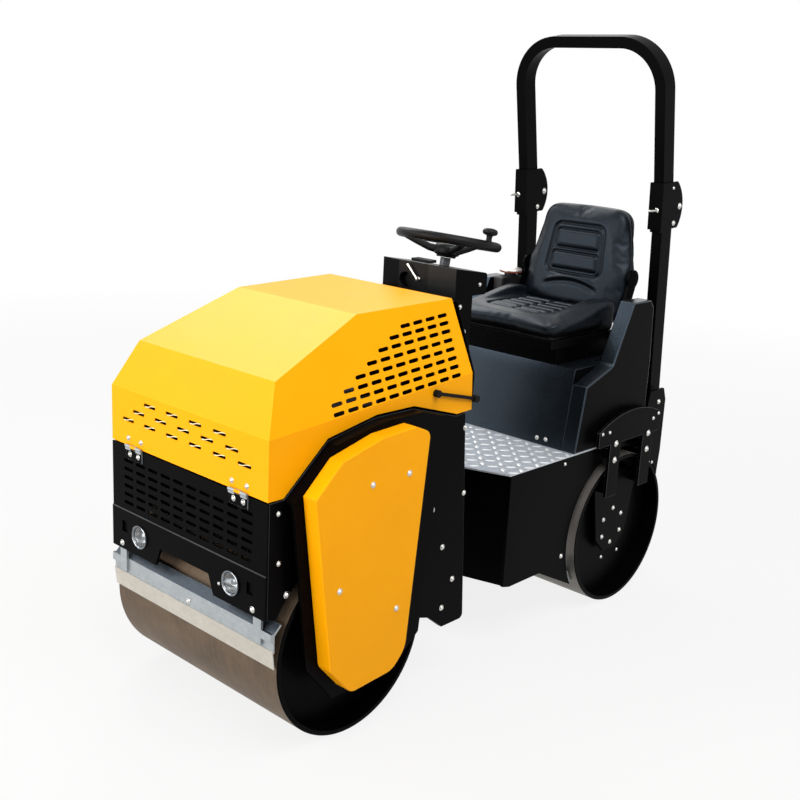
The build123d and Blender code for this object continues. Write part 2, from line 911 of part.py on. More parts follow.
def rops_post():
    """Post whose top is a channel, open behind, round the hoop's foot and hinge bolt."""
    tall = (fold_z - rear_deck[1]) / cos(radians(post_lean)) + 40
    tube = Box(tube_in_plane, tube_fore_aft, tall)
    post = Pos(hoop_mid, -fold_behind, -tall / 2 - foot_clear) * tube
    front = -fold_behind - tube_fore_aft / 2 - front_clear - cheek
    back = -fold_behind + tube_fore_aft / 2 + cheek
    tall_cheek = cheek_span[1] - cheek_span[0]
    middle = sum(cheek_span) / 2
    for x in (hoop_mid - (tube_in_plane + cheek) / 2, hoop_mid + (tube_in_plane + cheek) / 2):
        lobe = Pos(x, lobe_back - lobe_radius, 0) * Rot(0, 90, 0) * Cylinder(lobe_radius, cheek)
        post += lobe & (Pos(x, front + 150, middle) * Box(cheek, 300, tall_cheek))
        post += Pos(x, (front + back) / 2, middle) * Box(cheek, back - front, tall_cheek)
    web = Box(tube_in_plane + 2 * cheek, cheek, tall_cheek)
    post += Pos(hoop_mid, front + cheek / 2, middle) * web
    low_packing = cheek_span[0] - 10
    packing = Box(tube_in_plane, front_clear, -foot_clear - low_packing)
    post += Pos(hoop_mid, front + cheek + front_clear / 2, (low_packing - foot_clear) / 2) * packing
    bolt = Cylinder(fold_bolt, tube_in_plane + 2 * cheek)
    post += Pos(hoop_mid, 0, 0) * Rot(0, 90, 0) * bolt
    below_deck = block((0, 500), (fold_y - 300, fold_y + 300), (0, rear_deck[1] + fit_gap))
    return lean_frame(post_lean) * post - below_deck


save_pair("rops_post", rops_post())


def rops_hoop():
    """Bent tube with a lug behind each foot, bored for the hinge bolt."""
    lean = radians(hoop_lean)
    top_edge = (overall_height - fold_z + (fold_behind - tube_fore_aft / 2) * sin(lean)) / cos(lean)
    top = top_edge - tube_in_plane / 2
    width = tube_in_plane - 2 * side_play
    foot = (-hoop_mid, -fold_behind, foot_rise)
    path = FilletPolyline(
        foot,
        (-hoop_mid, -fold_behind, top),
        (hoop_mid, -fold_behind, top),
        (hoop_mid, -fold_behind, foot_rise),
        radius=hoop_bend - tube_in_plane / 2,
    )
    start = Plane(origin=foot, x_dir=(1, 0, 0), z_dir=(0, 0, 1))
    hoop = sweep(start * Rectangle(width, tube_fore_aft), path=path)
    for x in (-hoop_mid, hoop_mid):
        hoop += Pos(x, -20, 30) * Box(width, 40, 56)
        hoop += Pos(x, 0, 0) * Rot(0, 90, 0) * Cylinder(18, width)
        hoop -= Pos(x, 0, 0) * Rot(0, 90, 0) * Cylinder(fold_bolt + bearing_gap, width + 2)
    return lean_frame(hoop_lean) * hoop


save("rops_hoop", rops_hoop())
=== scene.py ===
import bpy
import bmesh
import json
import math
from mathutils import Matrix, Vector

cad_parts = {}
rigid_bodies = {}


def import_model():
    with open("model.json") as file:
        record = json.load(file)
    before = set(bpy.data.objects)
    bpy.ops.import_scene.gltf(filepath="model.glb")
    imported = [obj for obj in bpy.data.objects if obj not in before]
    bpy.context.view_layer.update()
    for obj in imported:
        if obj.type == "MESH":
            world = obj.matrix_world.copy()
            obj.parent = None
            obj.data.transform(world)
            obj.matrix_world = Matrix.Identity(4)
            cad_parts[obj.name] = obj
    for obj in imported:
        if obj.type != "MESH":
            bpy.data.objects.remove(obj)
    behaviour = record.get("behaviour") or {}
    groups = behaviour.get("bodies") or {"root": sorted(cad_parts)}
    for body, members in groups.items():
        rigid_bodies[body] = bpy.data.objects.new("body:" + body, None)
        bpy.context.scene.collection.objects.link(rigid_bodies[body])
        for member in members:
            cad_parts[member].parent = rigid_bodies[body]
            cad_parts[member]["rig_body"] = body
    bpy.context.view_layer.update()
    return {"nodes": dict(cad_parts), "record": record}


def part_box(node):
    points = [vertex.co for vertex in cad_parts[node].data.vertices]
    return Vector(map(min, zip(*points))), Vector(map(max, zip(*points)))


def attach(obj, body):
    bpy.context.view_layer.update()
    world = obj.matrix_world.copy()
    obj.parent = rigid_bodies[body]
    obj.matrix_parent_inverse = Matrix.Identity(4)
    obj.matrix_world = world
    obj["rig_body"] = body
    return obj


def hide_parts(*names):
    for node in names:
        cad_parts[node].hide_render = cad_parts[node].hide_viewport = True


# Ride-on tandem road roller. Metres; -Y is forward, +X the machine's left, +Z up.
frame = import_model()
nodes = frame["nodes"]
slotOfNode = {row["node"]: row["material_slot"] for row in frame["record"]["subparts"]}
lowDrum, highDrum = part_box("front_drum")
frontAxleY = (lowDrum.y + highDrum.y) / 2
lowRear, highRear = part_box("rear_drum")
wheelbase = (lowRear.y + highRear.y) / 2 - frontAxleY
print("frame loaded")


def place(x, y, z):
    # millimetres, y counted backwards from the front axle, to metres in the row frame
    return Vector((x / 1000, frontAxleY + y / 1000, z / 1000))


def linear(hexColour):
    parts = [int(hexColour[i:i + 2], 16) / 255 for i in (0, 2, 4)]
    return [c / 12.92 if c <= 0.04045 else ((c + 0.055) / 1.055) ** 2.4 for c in parts] + [1]


def addNode(tree, kind, values=None, links=None, **settings):
    node = tree.nodes.new(kind)
    for key, value in settings.items():
        setattr(node, key, value)
    for key, value in (values or {}).items():
        node.inputs[key].default_value = value
    for key, source in (links or {}).items():
        tree.links.new(source, node.inputs[key])
    return node


def newMaterial(name):
    # a Principled shader with its tree and object coordinates in metres
    material = bpy.data.materials.new(name)
    material.use_nodes = True
    tree = material.node_tree
    shader = tree.nodes["Principled BSDF"]
    where = addNode(tree, "ShaderNodeTexCoord").outputs["Object"]
    return material, tree, shader, where


def colourFrom(tree, shader, amount, low, high, lowAt=0.0, highAt=1.0):
    # the base colour runs between two hex values as a pattern's amount goes from lowAt to highAt
    ramp = addNode(tree, "ShaderNodeValToRGB", links={"Fac": amount})
    for element, spot, tone in zip(ramp.color_ramp.elements, (lowAt, highAt), (low, high)):
        element.position = spot
        element.color = linear(tone)
    tree.links.new(ramp.outputs["Color"], shader.inputs["Base Color"])


def roughFrom(tree, shader, amount, low, high):
    span = addNode(tree, "ShaderNodeMapRange", {"To Min": low, "To Max": high}, {"Value": amount})
    tree.links.new(span.outputs["Result"], shader.inputs["Roughness"])


def bumpFrom(tree, shader, height, depth, strength):
    # depth is the real height of the relief in metres
    bump = addNode(tree, "ShaderNodeBump", {"Strength": strength, "Distance": depth}, {"Height": height})
    tree.links.new(bump.outputs["Normal"], shader.inputs["Normal"])


def paintMaterial(name, low, high, rough, dust, specular, tint="FFFFFF"):
    # powder coat: a smooth baked film with a slight orange peel 2 mm across, a little dulled by dust
    material, tree, shader, where = newMaterial(name)
    peel = addNode(tree, "ShaderNodeTexNoise", {"Scale": 420, "Detail": 2}, {"Vector": where})
    film = addNode(tree, "ShaderNodeTexNoise", {"Scale": 5, "Detail": 6, "Roughness": 0.6}, {"Vector": where})
    colourFrom(tree, shader, film.outputs["Fac"], low, high, 0.3, 0.75)
    roughFrom(tree, shader, film.outputs["Fac"], rough, rough + dust)
    bumpFrom(tree, shader, peel.outputs["Fac"], 0.0002, 0.5)
    shader.inputs["Specular IOR Level"].default_value = specular
    shader.inputs["Specular Tint"].default_value = linear(tint)
    return material


def wornSteelMaterial(name, low, high, metal):
    # rolled mild steel that has run on gravel: a dull film,
    # with bright scratches about 4 mm wide round the drum
    material, tree, shader, where = newMaterial(name)
    stretch = addNode(tree, "ShaderNodeMapping", {"Scale": (260, 7, 7)}, {"Vector": where})
    scratch = addNode(tree, "ShaderNodeTexNoise", {"Scale": 1, "Detail": 6, "Roughness": 0.7},
                      {"Vector": stretch.outputs["Vector"]})
    film = addNode(tree, "ShaderNodeTexNoise", {"Scale": 11, "Detail": 6, "Roughness": 0.65},
                   {"Vector": where})
    both = addNode(tree, "ShaderNodeMix", {"Factor": 0.45},
                   {"A": scratch.outputs["Fac"], "B": film.outputs["Fac"]}, data_type="FLOAT")
    colourFrom(tree, shader, both.outputs["Result"], low, high, 0.3, 0.72)
    roughFrom(tree, shader, scratch.outputs["Fac"], 0.42, 0.68)
    bumpFrom(tree, shader, both.outputs["Result"], 0.0006, 0.5)
    shader.inputs["Metallic"].default_value = metal
    return material


def galvanisedMaterial(name, low, high, metal):
    # hot-dip zinc: pale grey, with a faint crystal spangle 6 to 12 mm across
    material, tree, shader, where = newMaterial(name)
    spangle = addNode(tree, "ShaderNodeTexVoronoi", {"Scale": 110}, {"Vector": where})
    tone = addNode(tree, "ShaderNodeSeparateColor", links={"Color": spangle.outputs["Color"]})
    cloud = addNode(tree, "ShaderNodeTexNoise", {"Scale": 14, "Detail": 5}, {"Vector": where})
    both = addNode(tree, "ShaderNodeMix", {"Factor": 0.7},
                   {"A": tone.outputs["Red"], "B": cloud.outputs["Fac"]},
                   data_type="FLOAT")
    colourFrom(tree, shader, both.outputs["Result"], low, high, 0.2, 0.8)
    roughFrom(tree, shader, both.outputs["Result"], 0.36, 0.52)
    bumpFrom(tree, shader, spangle.outputs["Distance"], 0.0003, 0.2)
    shader.inputs["Metallic"].default_value = metal
    return material


def reflectorMaterial(shieldReflectionHeight):
    # vapour-coated reflector behind a banded lens: bright bars painted into its colour as painted
    # reflections, and a dark bar across the bowl, the painted reflection of the bulb shield
    material, tree, shader, where = newMaterial("vapourCoatedReflector")
    tall = addNode(tree, "ShaderNodeMapping", {"Scale": (12, 12, 62)}, {"Vector": where})
    bars = addNode(tree, "ShaderNodeTexNoise", {"Scale": 1, "Detail": 1}, {"Vector": tall.outputs["Vector"]})
    height = addNode(tree, "ShaderNodeSeparateXYZ", links={"Vector": where})
    away = addNode(tree, "ShaderNodeMath", {1: shieldReflectionHeight}, {0: height.outputs["Z"]}, operation="SUBTRACT")
    away = addNode(tree, "ShaderNodeMath", links={0: away.outputs[0]}, operation="ABSOLUTE")
    clear = addNode(tree, "ShaderNodeMapRange", {"From Min": 0.004, "From Max": 0.008},
                    {"Value": away.outputs[0]})
    paintedReflection = addNode(tree, "ShaderNodeMath", links={0: bars.outputs["Fac"], 1: clear.outputs["Result"]},
                    operation="MULTIPLY")
    colourFrom(tree, shader, paintedReflection.outputs[0], "080A0C", "C3C9CE", 0.4, 0.56)
    roughFrom(tree, shader, bars.outputs["Fac"], 0.08, 0.2)
    bumpFrom(tree, shader, bars.outputs["Fac"], 0.0006, 0.3)
    shader.inputs["Metallic"].default_value = 1.0
    return material


def treadPlateMaterial(name, low, high):
    # mill-finish aluminium: bright, with rolling lines drawn coarser than they are, and scuffs from boots
    material, tree, shader, where = newMaterial(name)
    stretch = addNode(tree, "ShaderNodeMapping", {"Scale": (30, 600, 30)}, {"Vector": where})
    rolling = addNode(tree, "ShaderNodeTexNoise", {"Scale": 1, "Detail": 4},
                      {"Vector": stretch.outputs["Vector"]})
    scuff = addNode(tree, "ShaderNodeTexNoise", {"Scale": 60, "Detail": 6, "Roughness": 0.7},
                    {"Vector": where})
    colourFrom(tree, shader, scuff.outputs["Fac"], low, high, 0.3, 0.7)
    roughFrom(tree, shader, rolling.outputs["Fac"], 0.25, 0.48)
    bumpFrom(tree, shader, rolling.outputs["Fac"], 0.0002, 0.3)
    shader.inputs["Metallic"].default_value = 0.35
    return material


def vinylMaterial():
    # embossed PVC-coated fabric: satin, with leather grain about 1.5 mm across; its blue specular tint is a
    # painted reflection colour
    material, tree, shader, where = newMaterial("embossedVinyl")
    grain = addNode(tree, "ShaderNodeTexVoronoi", {"Scale": 620}, {"Vector": where},
                    feature="DISTANCE_TO_EDGE")
    shade = addNode(tree, "ShaderNodeTexNoise", {"Scale": 14, "Detail": 4}, {"Vector": where})
    colourFrom(tree, shader, shade.outputs["Fac"], "07090C", "0E1217", 0.3, 0.75)
    roughFrom(tree, shader, shade.outputs["Fac"], 0.3, 0.42)
    bumpFrom(tree, shader, grain.outputs["Distance"], 0.0003, 0.5)
    shader.inputs["Specular Tint"].default_value = linear("C4D6EA")
    shader.inputs["Specular IOR Level"].default_value = 0.3
    return material


def plasticMaterial(name, low, high, specular):
    # moulded plastic: dark, with the spark-eroded texture of its mould drawn coarser, at 1 mm
    material, tree, shader, where = newMaterial(name)
    texture = addNode(tree, "ShaderNodeTexNoise", {"Scale": 900, "Detail": 2}, {"Vector": where})
    shade = addNode(tree, "ShaderNodeTexNoise", {"Scale": 20, "Detail": 3}, {"Vector": where})
    colourFrom(tree, shader, shade.outputs["Fac"], low, high)
    roughFrom(tree, shader, shade.outputs["Fac"], 0.38, 0.5)
    bumpFrom(tree, shader, texture.outputs["Fac"], 0.0002, 0.5)
    shader.inputs["Specular IOR Level"].default_value = specular
    return material


def mottledMaterial(name, tones, noise, span, rough, relief, inputs):
    # one noise drives colour, roughness and relief
    material, tree, shader, where = newMaterial(name)
    mottle = addNode(tree, "ShaderNodeTexNoise", noise, {"Vector": where}).outputs["Fac"]
    colourFrom(tree, shader, mottle, *tones, *span)
    roughFrom(tree, shader, mottle, *rough)
    bumpFrom(tree, shader, mottle, *relief)
    for key, value in inputs.items():
        shader.inputs[key].default_value = value
    return material


# name, two colours, noise, where on the noise the colours lie, roughness,
# relief in metres with its strength, further inputs
mottledFinishes = {
    # bright zinc plating on steel: smooth and shiny, with fine handling marks
    "zinc": ("zincPlatedSteel", ("B4B2AE", "E4E2DD"), {"Scale": 300, "Detail": 3}, (0.35, 0.7),
             (0.18, 0.36), (0.0001, 0.3), {"Metallic": 1.0}),
    # chromed pressed steel: almost a mirror, with faint pressing ripples
    "lamp": ("chromedSteelBezel", ("5E6266", "9A9EA2"), {"Scale": 90, "Detail": 1}, (0, 1),
             (0.06, 0.16), (0.0004, 0.2), {"Metallic": 1.0}),
    # moulded black rubber: matt and almost black, with a pale bloom
    "latch_rubber": ("mouldedRubber", ("050505", "0B0B0C"), {"Scale": 70, "Detail": 5}, (0.3, 0.8),
                     (0.55, 0.75), (0.0003, 0.5), {"Specular IOR Level": 0.12}),
    # sand casting under engine paint: a rough skin of grains about 4 mm across, with a dull sheen
    "engine_iron": ("paintedCastIron", ("141516", "2B2D2F"), {"Scale": 260, "Detail": 6, "Roughness": 0.7},
                    (0.3, 0.75), (0.5, 0.7), (0.0008, 0.7), {"Metallic": 0.2}),
    # moulded polycarbonate lens: clear, with shallow optic ripples
    "lens": ("clearPolycarbonate", ("F2F5F6", "FFFFFF"), {"Scale": 180, "Detail": 0}, (0, 1),
             (0.02, 0.05), (0.0004, 0.3), {"IOR": 1.58, "Transmission Weight": 1.0}),
    # moulded red-brown rubber: matt, with a slight bloom
    "gasket": ("mouldedRedRubber", ("5A2416", "86412C"), {"Scale": 60, "Detail": 4}, (0, 1),
               (0.45, 0.65), (0.0002, 0.4), {}),
    # phosphated steel tube: dark grey with a soft metal sheen
    "columnSteel": ("phosphatedSteel", ("2A2B2D", "57585A"), {"Scale": 150, "Detail": 4}, (0, 1),
                    (0.28, 0.42), (0.0002, 0.3), {"Metallic": 0.8}),
    # nickel-plated pressed steel: pale and satin, with a warm cast
    "cap": ("nickelPlatedCap", ("D9D2CB", "F3EFEA"), {"Scale": 240, "Detail": 4}, (0, 1),
            (0.25, 0.4), (0.0001, 0.3), {"Metallic": 0.7}),
}

materials = {
    "yellow_paint": paintMaterial("yellowPowderCoat", "FBA703", "FFAB05", 0.32, 0.12, 0.09),
    "black_paint": paintMaterial("blackPowderCoat", "020203", "050506", 0.3, 0.15, 0.025),
    # pale cream for the nose slots' lips: a painted highlight
    "lipHighlight": paintMaterial("yellowPaintPaintedHighlight", "F2D9A0", "FBEBC4", 0.35, 0.1, 0.4),
    # glossy black with a blue specular tint for faces turned to the light: a painted sheen with a painted
    # blue reflection
    "boxPaint": paintMaterial("blackEnamelPaintedSheen", "07090B", "0D1013", 0.22, 0.1, 0.8, "C0D8F0"),
    # paler black for rolled edges: a painted highlight along them
    "edgeHighlight": paintMaterial("blackPaintPaintedEdgeHighlight", "141517", "3A3B3D", 0.35, 0.2, 0.3),
    "console_paint": paintMaterial("charcoalPowderCoat", "0B0C0C", "131414", 0.32, 0.1, 0.16),
    "drum_steel": wornSteelMaterial("rolledSteelWorn", "43362C", "77644F", 0.55),
    # a paler, more metallic copy of the same worn drum steel for the rear drum: a painted sheen where its
    # shell catches the light
    "rearDrumSteel": wornSteelMaterial("rolledSteelPaintedSheen", "67635E", "8F8B86", 0.75),
    "galvanised_steel": galvanisedMaterial("galvanisedSteel", "90969A", "A6ACAF", 0.45),
    # a darker copy of the galvanised steel for the scraper's upward faces under the panel: painted shade
    "shelfSteelShade": galvanisedMaterial("galvanisedSteelPaintedShade", "2B3239", "414A52", 0.5),
    "bladeSteel": galvanisedMaterial("scraperBladeSteel", "ABA69D", "BDB7AD", 0.2),
    # the lamp reflector, with painted reflections in its colour
    "bowlReflections": reflectorMaterial(sum(corner.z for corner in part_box("headlights")) / 2 + 0.010),
    "checker_plate": treadPlateMaterial("millFinishAluminium", "AEB5BC", "D6DBE0"),
    # near-white aluminium for the raised bars: worn bright, and partly a painted highlight
    "lozengeWearAndHighlight": treadPlateMaterial("aluminiumWornAndHighlighted", "F0F2F4", "FFFFFF"),
    "black_vinyl": vinylMaterial(),
    "wheel_plastic": plasticMaterial("mouldedAbs", "060607", "0C0C0D", 0.15),
    "tank_plastic": plasticMaterial("mouldedPolyethylene", "0E0E0F", "19191B", 0.35),
}
materials.update({key: mottledMaterial(*finish) for key, finish in mottledFinishes.items()})
print("materials made")


# mesh tools

def finishPiece(name, bm, body, slotName, material=None, smoothAngle=40, extra=()):
    # turns a bmesh into a shaded piece that rides on a body; extra lists the further materials
    limit = math.radians(smoothAngle)
    bmesh.ops.recalc_face_normals(bm, faces=bm.faces)
    for face in bm.faces:
        face.smooth = True
    for edge in bm.edges:
        edge.smooth = len(edge.link_faces) == 2 and edge.calc_face_angle(0) < limit
    mesh = bpy.data.meshes.new(name)
    bm.to_mesh(mesh)
    bm.free()
    piece = bpy.data.objects.new(name, mesh)
    bpy.context.scene.collection.objects.link(piece)
    for key in (material or slotName, *extra):
        mesh.materials.append(materials[key])
    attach(piece, body)
    return piece


def flattenShading(piece):
    # large faces keep their own normals, so only the rolled edges shade round
    change = piece.modifiers.new("normals", "WEIGHTED_NORMAL")
    change.keep_sharp = True
    change.weight = 90
    keepEvaluated(piece)


def copyOfNode(name):
    # a CAD node's mesh with its seams joined and its flat faces whole
    bm = bmesh.new()
    bm.from_mesh(nodes[name].data)
    for layer in list(bm.loops.layers.uv):
        bm.loops.layers.uv.remove(layer)
    bmesh.ops.remove_doubles(bm, verts=bm.verts, dist=1e-5)
    bmesh.ops.dissolve_limit(bm, angle_limit=math.radians(0.4), verts=bm.verts, edges=bm.edges)
    return bm


def roundEdges(bm, width, segments=2, lowAngle=20, highAngle=180, only=None, edgeIndex=0):
    # rolls off the edges whose two faces meet between the two angles
    edges = []
    for edge in bm.edges:
        if len(edge.link_faces) != 2 or (only and not only(edge)):
            continue
        angle = math.degrees(edge.calc_face_angle(0))
        if lowAngle < angle < highAngle:
            edges.append(edge)
    made = bmesh.ops.bevel(bm, geom=edges, offset=width / 1000, segments=segments, profile=0.5,
                           affect="EDGES", clamp_overlap=True)
    for face in made["faces"]:
        face.material_index = edgeIndex
    return bm


def paintFaces(bm, index, test):
    # gives the faces that pass a test on middle and normal their own material
    bm.normal_update()
    for face in bm.faces:
        if test(face.calc_center_median(), face.normal):
            face.material_index = index


def addPrism(bm, centre, along, across, outline, depth):
    # a closed prism over an outline of (along, across) in mm, centred on a point
    along, across = Vector(along).normalized(), Vector(across).normalized()
    through = along.cross(across).normalized() * depth / 2000
    rings = []
    for side in (-1, 1):
        rings.append([bm.verts.new(centre + along * a / 1000 + across * b / 1000 + through * side)
                      for a, b in outline])
    joinRings(bm, *rings)
    bm.faces.new(rings[0][::-1])
    bm.faces.new(rings[1])


def slotOutline(length, width, steps=6):
    points = []
    for side in (1, -1):
        for i in range(steps + 1):
            turn = math.pi * (i / steps - 0.5)
            points.append((side * (length - width) / 2 + side * width / 2 * math.cos(turn),
                           side * width / 2 * math.sin(turn)))
    return points


def boxOutline(length, width):
    x, y = length / 2, width / 2
    return [(-x, -y), (x, -y), (x, y), (-x, y)]


def addRing(bm, middle, side, front, radius, steps):
    # the vertices of one circle, or a single one where the radius in mm is nothing
    if radius == 0:
        return [bm.verts.new(middle)]
    turns = [2 * math.pi * i / steps for i in range(steps)]
    return [bm.verts.new(middle + (side * math.cos(a) + front * math.sin(a)) * radius / 1000)
            for a in turns]


def turnedRings(bm, centre, axis, profile, steps):
    axis = Vector(axis).normalized()
    side = axis.orthogonal().normalized()
    front = axis.cross(side)
    return [addRing(bm, centre + axis * height / 1000, side, front, radius, steps)
            for radius, height in profile]


def joinRings(bm, low, high):
    # a band of four-sided faces between two rings of the same count
    for i in range(len(low)):
        j = (i + 1) % len(low)
        bm.faces.new((low[i], low[j], high[j], high[i]))


def addTurned(bm, centre, axis, profile, steps=24):
    # a solid of revolution over a profile of (radius, height) in mm
    rings = turnedRings(bm, centre, axis, profile, steps)
    for low, high in zip(rings, rings[1:]):
        if len(low) == len(high) == steps:
            joinRings(bm, low, high)
            continue
        for i in range(steps):
            j = (i + 1) % steps
            bm.faces.new((low[0], high[j], high[i]) if len(low) == 1 else (low[i], low[j], high[0]))
    for ring, flip in ((rings[0], True), (rings[-1], False)):
        if len(ring) > 2:
            bm.faces.new(ring[::-1] if flip else ring)


def cutAway(piece, cutter):
    # subtracts one mesh from a piece and keeps the result as its mesh
    tool = bpy.data.objects.new("cutter", bpy.data.meshes.new("cutter"))
    cutter.to_mesh(tool.data)
    cutter.free()
    bpy.context.scene.collection.objects.link(tool)
    change = piece.modifiers.new("cut", "BOOLEAN")
    change.operation = "DIFFERENCE"
    change.solver = "EXACT"
    change.object = tool
    keepEvaluated(piece)
    bpy.data.objects.remove(tool)


def keepEvaluated(piece):
    # applies a piece's modifiers
    bpy.context.view_layer.update()
    shaped = piece.evaluated_get(bpy.context.evaluated_depsgraph_get())
    mesh = bpy.data.meshes.new_from_object(shaped)
    piece.modifiers.clear()
    piece.data = mesh


def bodyOf(node):
    return nodes[node]["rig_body"]


# pieces that keep the CAD shape, with rolled edges

# node: edge radius in mm, and the material of the rolled edge where it differs; the paler edge paint is a
# painted highlight along the edge
plainPieces = {
    "front_side_plate_left": (1.2, "edgeHighlight"), "front_side_plate_right": (1.2, "edgeHighlight"),
    "front_cross_frame": (1.2, None), "front_neck": (1.5, None), "hood_hinges": (0.5, None),
    "support_arm_left": (1.5, None), "support_arm_right": (1.5, None),
    "side_cover_left": (4, None), "side_cover_right": (4, None),
    "hood_latches": (1.5, None), "console_pillar": (1.2, None),
    "rear_side_plate_left": (1.2, None), "rear_side_plate_right": (1.2, None),
    "rear_cross_frame": (1.2, None), "towing_eye": (1.5, None), "rear_neck": (1.5, None),
    "floor_plate": (0.8, None), "seat_box": (3, None), "fender_left": (5, None), "fender_right": (5, None),
    "fluid_tank": (8, None), "seat_base": (2.5, "edgeHighlight"),
    "drum_hanger_left": (1.5, "edgeHighlight"), "drum_hanger_right": (1.5, "edgeHighlight"),
    "hub_carrier_left": (1.5, None), "hub_carrier_right": (1.5, None), "rear_scraper": (0.8, None),
    "rops_post_left": (2, None), "rops_post_right": (2, None), "rops_hoop": (6, None),
}


leafTop = 749.5  # height in mm of the top of the hinges' black leaves


def isOuterSide(at, normal):
    return abs(normal.x) > 0.9


def isLeaf(at, normal):
    return at.z < leafTop / 1000


# node: its material, the second material and the faces that take it; on the seat box and fenders the glossy,
# blue-tinted enamel is a painted sheen and the dull black on the outer sides is painted shade
finishOf = {
    "seat_box": ("boxPaint", "black_paint", isOuterSide),
    "fender_left": ("boxPaint", "black_paint", isOuterSide),
    "fender_right": ("boxPaint", "black_paint", isOuterSide),
    "hood_hinges": ("galvanised_steel", "black_paint", isLeaf),
}


def pieceName(node):
    words = node.split("_")
    return words[0] + "".join(word.capitalize() for word in words[1:])


for node, (radius, edge) in plainPieces.items():
    bm = copyOfNode(node)
    extra = [edge] if edge else []
    finish = None
    if node in finishOf:
        finish, second, test = finishOf[node]
        extra = [second]
        paintFaces(bm, 1, test)
    roundEdges(bm, radius, 3 if radius > 3 else 2, edgeIndex=1 if edge else 0)
    piece = finishPiece(pieceName(node), bm, bodyOf(node), slotOfNode[node], finish, extra=extra)
    flattenShading(piece)
    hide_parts(node)
print("frame and plates shaped")

# engine

engineLook = {
    # finish: 0 cast iron, 1 charcoal paint, 2 black plastic, 3 phosphated steel
    # boxes: (low x, high x), (low y, high y), (low z, high z), edge radius, finish
    "boxes": (
        ((-120, 120), (-40, 250), (660, 850), 16, 0), ((-88, 88), (-20, 235), (612.5, 662), 14, 0),
        ((-82, 82), (0, 220), (850, 912), 10, 0), ((-62, 62), (14, 206), (912, 952), 16, 1),
        ((-176, 176), (-169, -84), (800, 1006), 26, 2), ((-150, -120), (60, 190), (690, 790), 8, 0),
        ((-150, 150), (-60, -30), (612.5, 640), 5, 0), ((-150, 150), (225, 255), (612.5, 640), 5, 0),
    ),
    # turned: start, axis, (radius, height) profile, finish
    "turned": (
        ((0, -76, 748), (0, 1, 0), ((60, 0), (118, 0), (124, 6), (124, 36), (0, 36)), 0),
        ((0, -82, 748), (0, 1, 0), ((0, 0), (46, 0), (50, 4), (50, 10), (30, 10), (30, 20), (0, 20)), 3),
        ((134, -60, 890), (0, 1, 0), ((0, 0), (40, 0), (55, 10), (55, 250), (40, 260), (0, 260)), 3),
        ((134, 200, 890), (0, 1, 0), ((18, 0), (18, 88), (0, 88)), 3),
        ((-189, 285, 905), (1, 0, 0), ((0, 0), (40, 0), (44, 5), (44, 120), (40, 124), (40, 128), (44, 130),
                                       (44, 196), (30, 206), (0, 206)), 2),
        ((0, 250, 740), (0, 1, 0), ((75, 0), (75, 14), (48, 20), (48, 74), (20, 79), (0, 79)), 0),
        ((-90, -126, 1004), (0, 0, 1), ((24, 0), (24, 4), (0, 5)), 3),
    ),
    "fins": (868, 904, 9, 5),  # lowest, highest, pitch, thickness
    "finSize": (196, 240), "finMiddle": 110,
}


def buildEngine():
    # an air-cooled diesel with its tank, silencer, air cleaner and pump
    bm = bmesh.new()

    def added(before, index):
        for face in bm.faces:
            if face not in before:
                face.material_index = index

    for (x0, x1), (y0, y1), (z0, z1), radius, index in engineLook["boxes"]:
        before = set(bm.faces)
        part = bmesh.new()
        addPrism(part, place((x0 + x1) / 2, (y0 + y1) / 2, (z0 + z1) / 2), (1, 0, 0), (0, 1, 0),
                 boxOutline(x1 - x0, y1 - y0), z1 - z0)
        roundEdges(part, radius, 3)
        mesh = bpy.data.meshes.new("part")
        part.to_mesh(mesh)
        part.free()
        bm.from_mesh(mesh)
        bpy.data.meshes.remove(mesh)
        added(before, index)
    for start, axis, profile, index in engineLook["turned"]:
        before = set(bm.faces)
        addTurned(bm, place(*start), axis, profile, 36)
        added(before, index)
    low, high, pitch, thick = engineLook["fins"]
    for k in range(int((high - low) / pitch) + 1):
        addPrism(bm, place(0, engineLook["finMiddle"], low + k * pitch), (1, 0, 0), (0, 1, 0),
                 boxOutline(*engineLook["finSize"]), thick)
    return bm


engine = finishPiece("dieselEngine", buildEngine(), bodyOf("engine_block"), slotOfNode["engine_block"],
                     extra=["console_paint", "tank_plastic", "columnSteel"])
flattenShading(engine)
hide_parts("engine_block")
print("engine made")

# drums

drumLook = {
    "rim": 2.5, "endEdge": 2,  # edge radii in mm
    "bare": 0.985,  # share of the radius outside which a shell is bare steel
    # the rear drum's steel is a paler copy, a painted sheen
    "steel": {"front_drum": "drum_steel", "rear_drum": "rearDrumSteel"},
}

for node, steel in drumLook["steel"].items():
    low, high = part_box(node)
    middle = (low + high) / 2
    radius = (high.z - low.z) / 2
    bm = copyOfNode(node)
    bmesh.ops.recalc_face_normals(bm, faces=bm.faces)
    # the rolled surface stays bare; the end ring and the inside are painted
    bareFrom = radius * drumLook["bare"]
    paintFaces(bm, 1, lambda at, normal: math.hypot(at.y - middle.y, at.z - middle.z) < bareFrom)
    roundEdges(bm, drumLook["rim"], 3, edgeIndex=1)
    piece = finishPiece(pieceName(node), bm, bodyOf(node), "drum_steel", material=steel,
                        extra=["black_paint"])
    flattenShading(piece)
    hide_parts(node)
    ends = node + "_ends"
    bm = roundEdges(copyOfNode(ends), drumLook["endEdge"])
    piece = finishPiece(pieceName(ends), bm, bodyOf(ends), slotOfNode[ends])
    flattenShading(piece)
    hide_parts(ends)
print("drums shaped")

# front scraper

scraperLook = {"shelfLow": 391, "bladeTop": 346.5, "edge": 0.8}  # heights in mm

bm = copyOfNode("front_scraper")
bmesh.ops.recalc_face_normals(bm, faces=bm.faces)
shelfLow, bladeTop = place(0, 0, scraperLook["shelfLow"]), place(0, 0, scraperLook["bladeTop"])
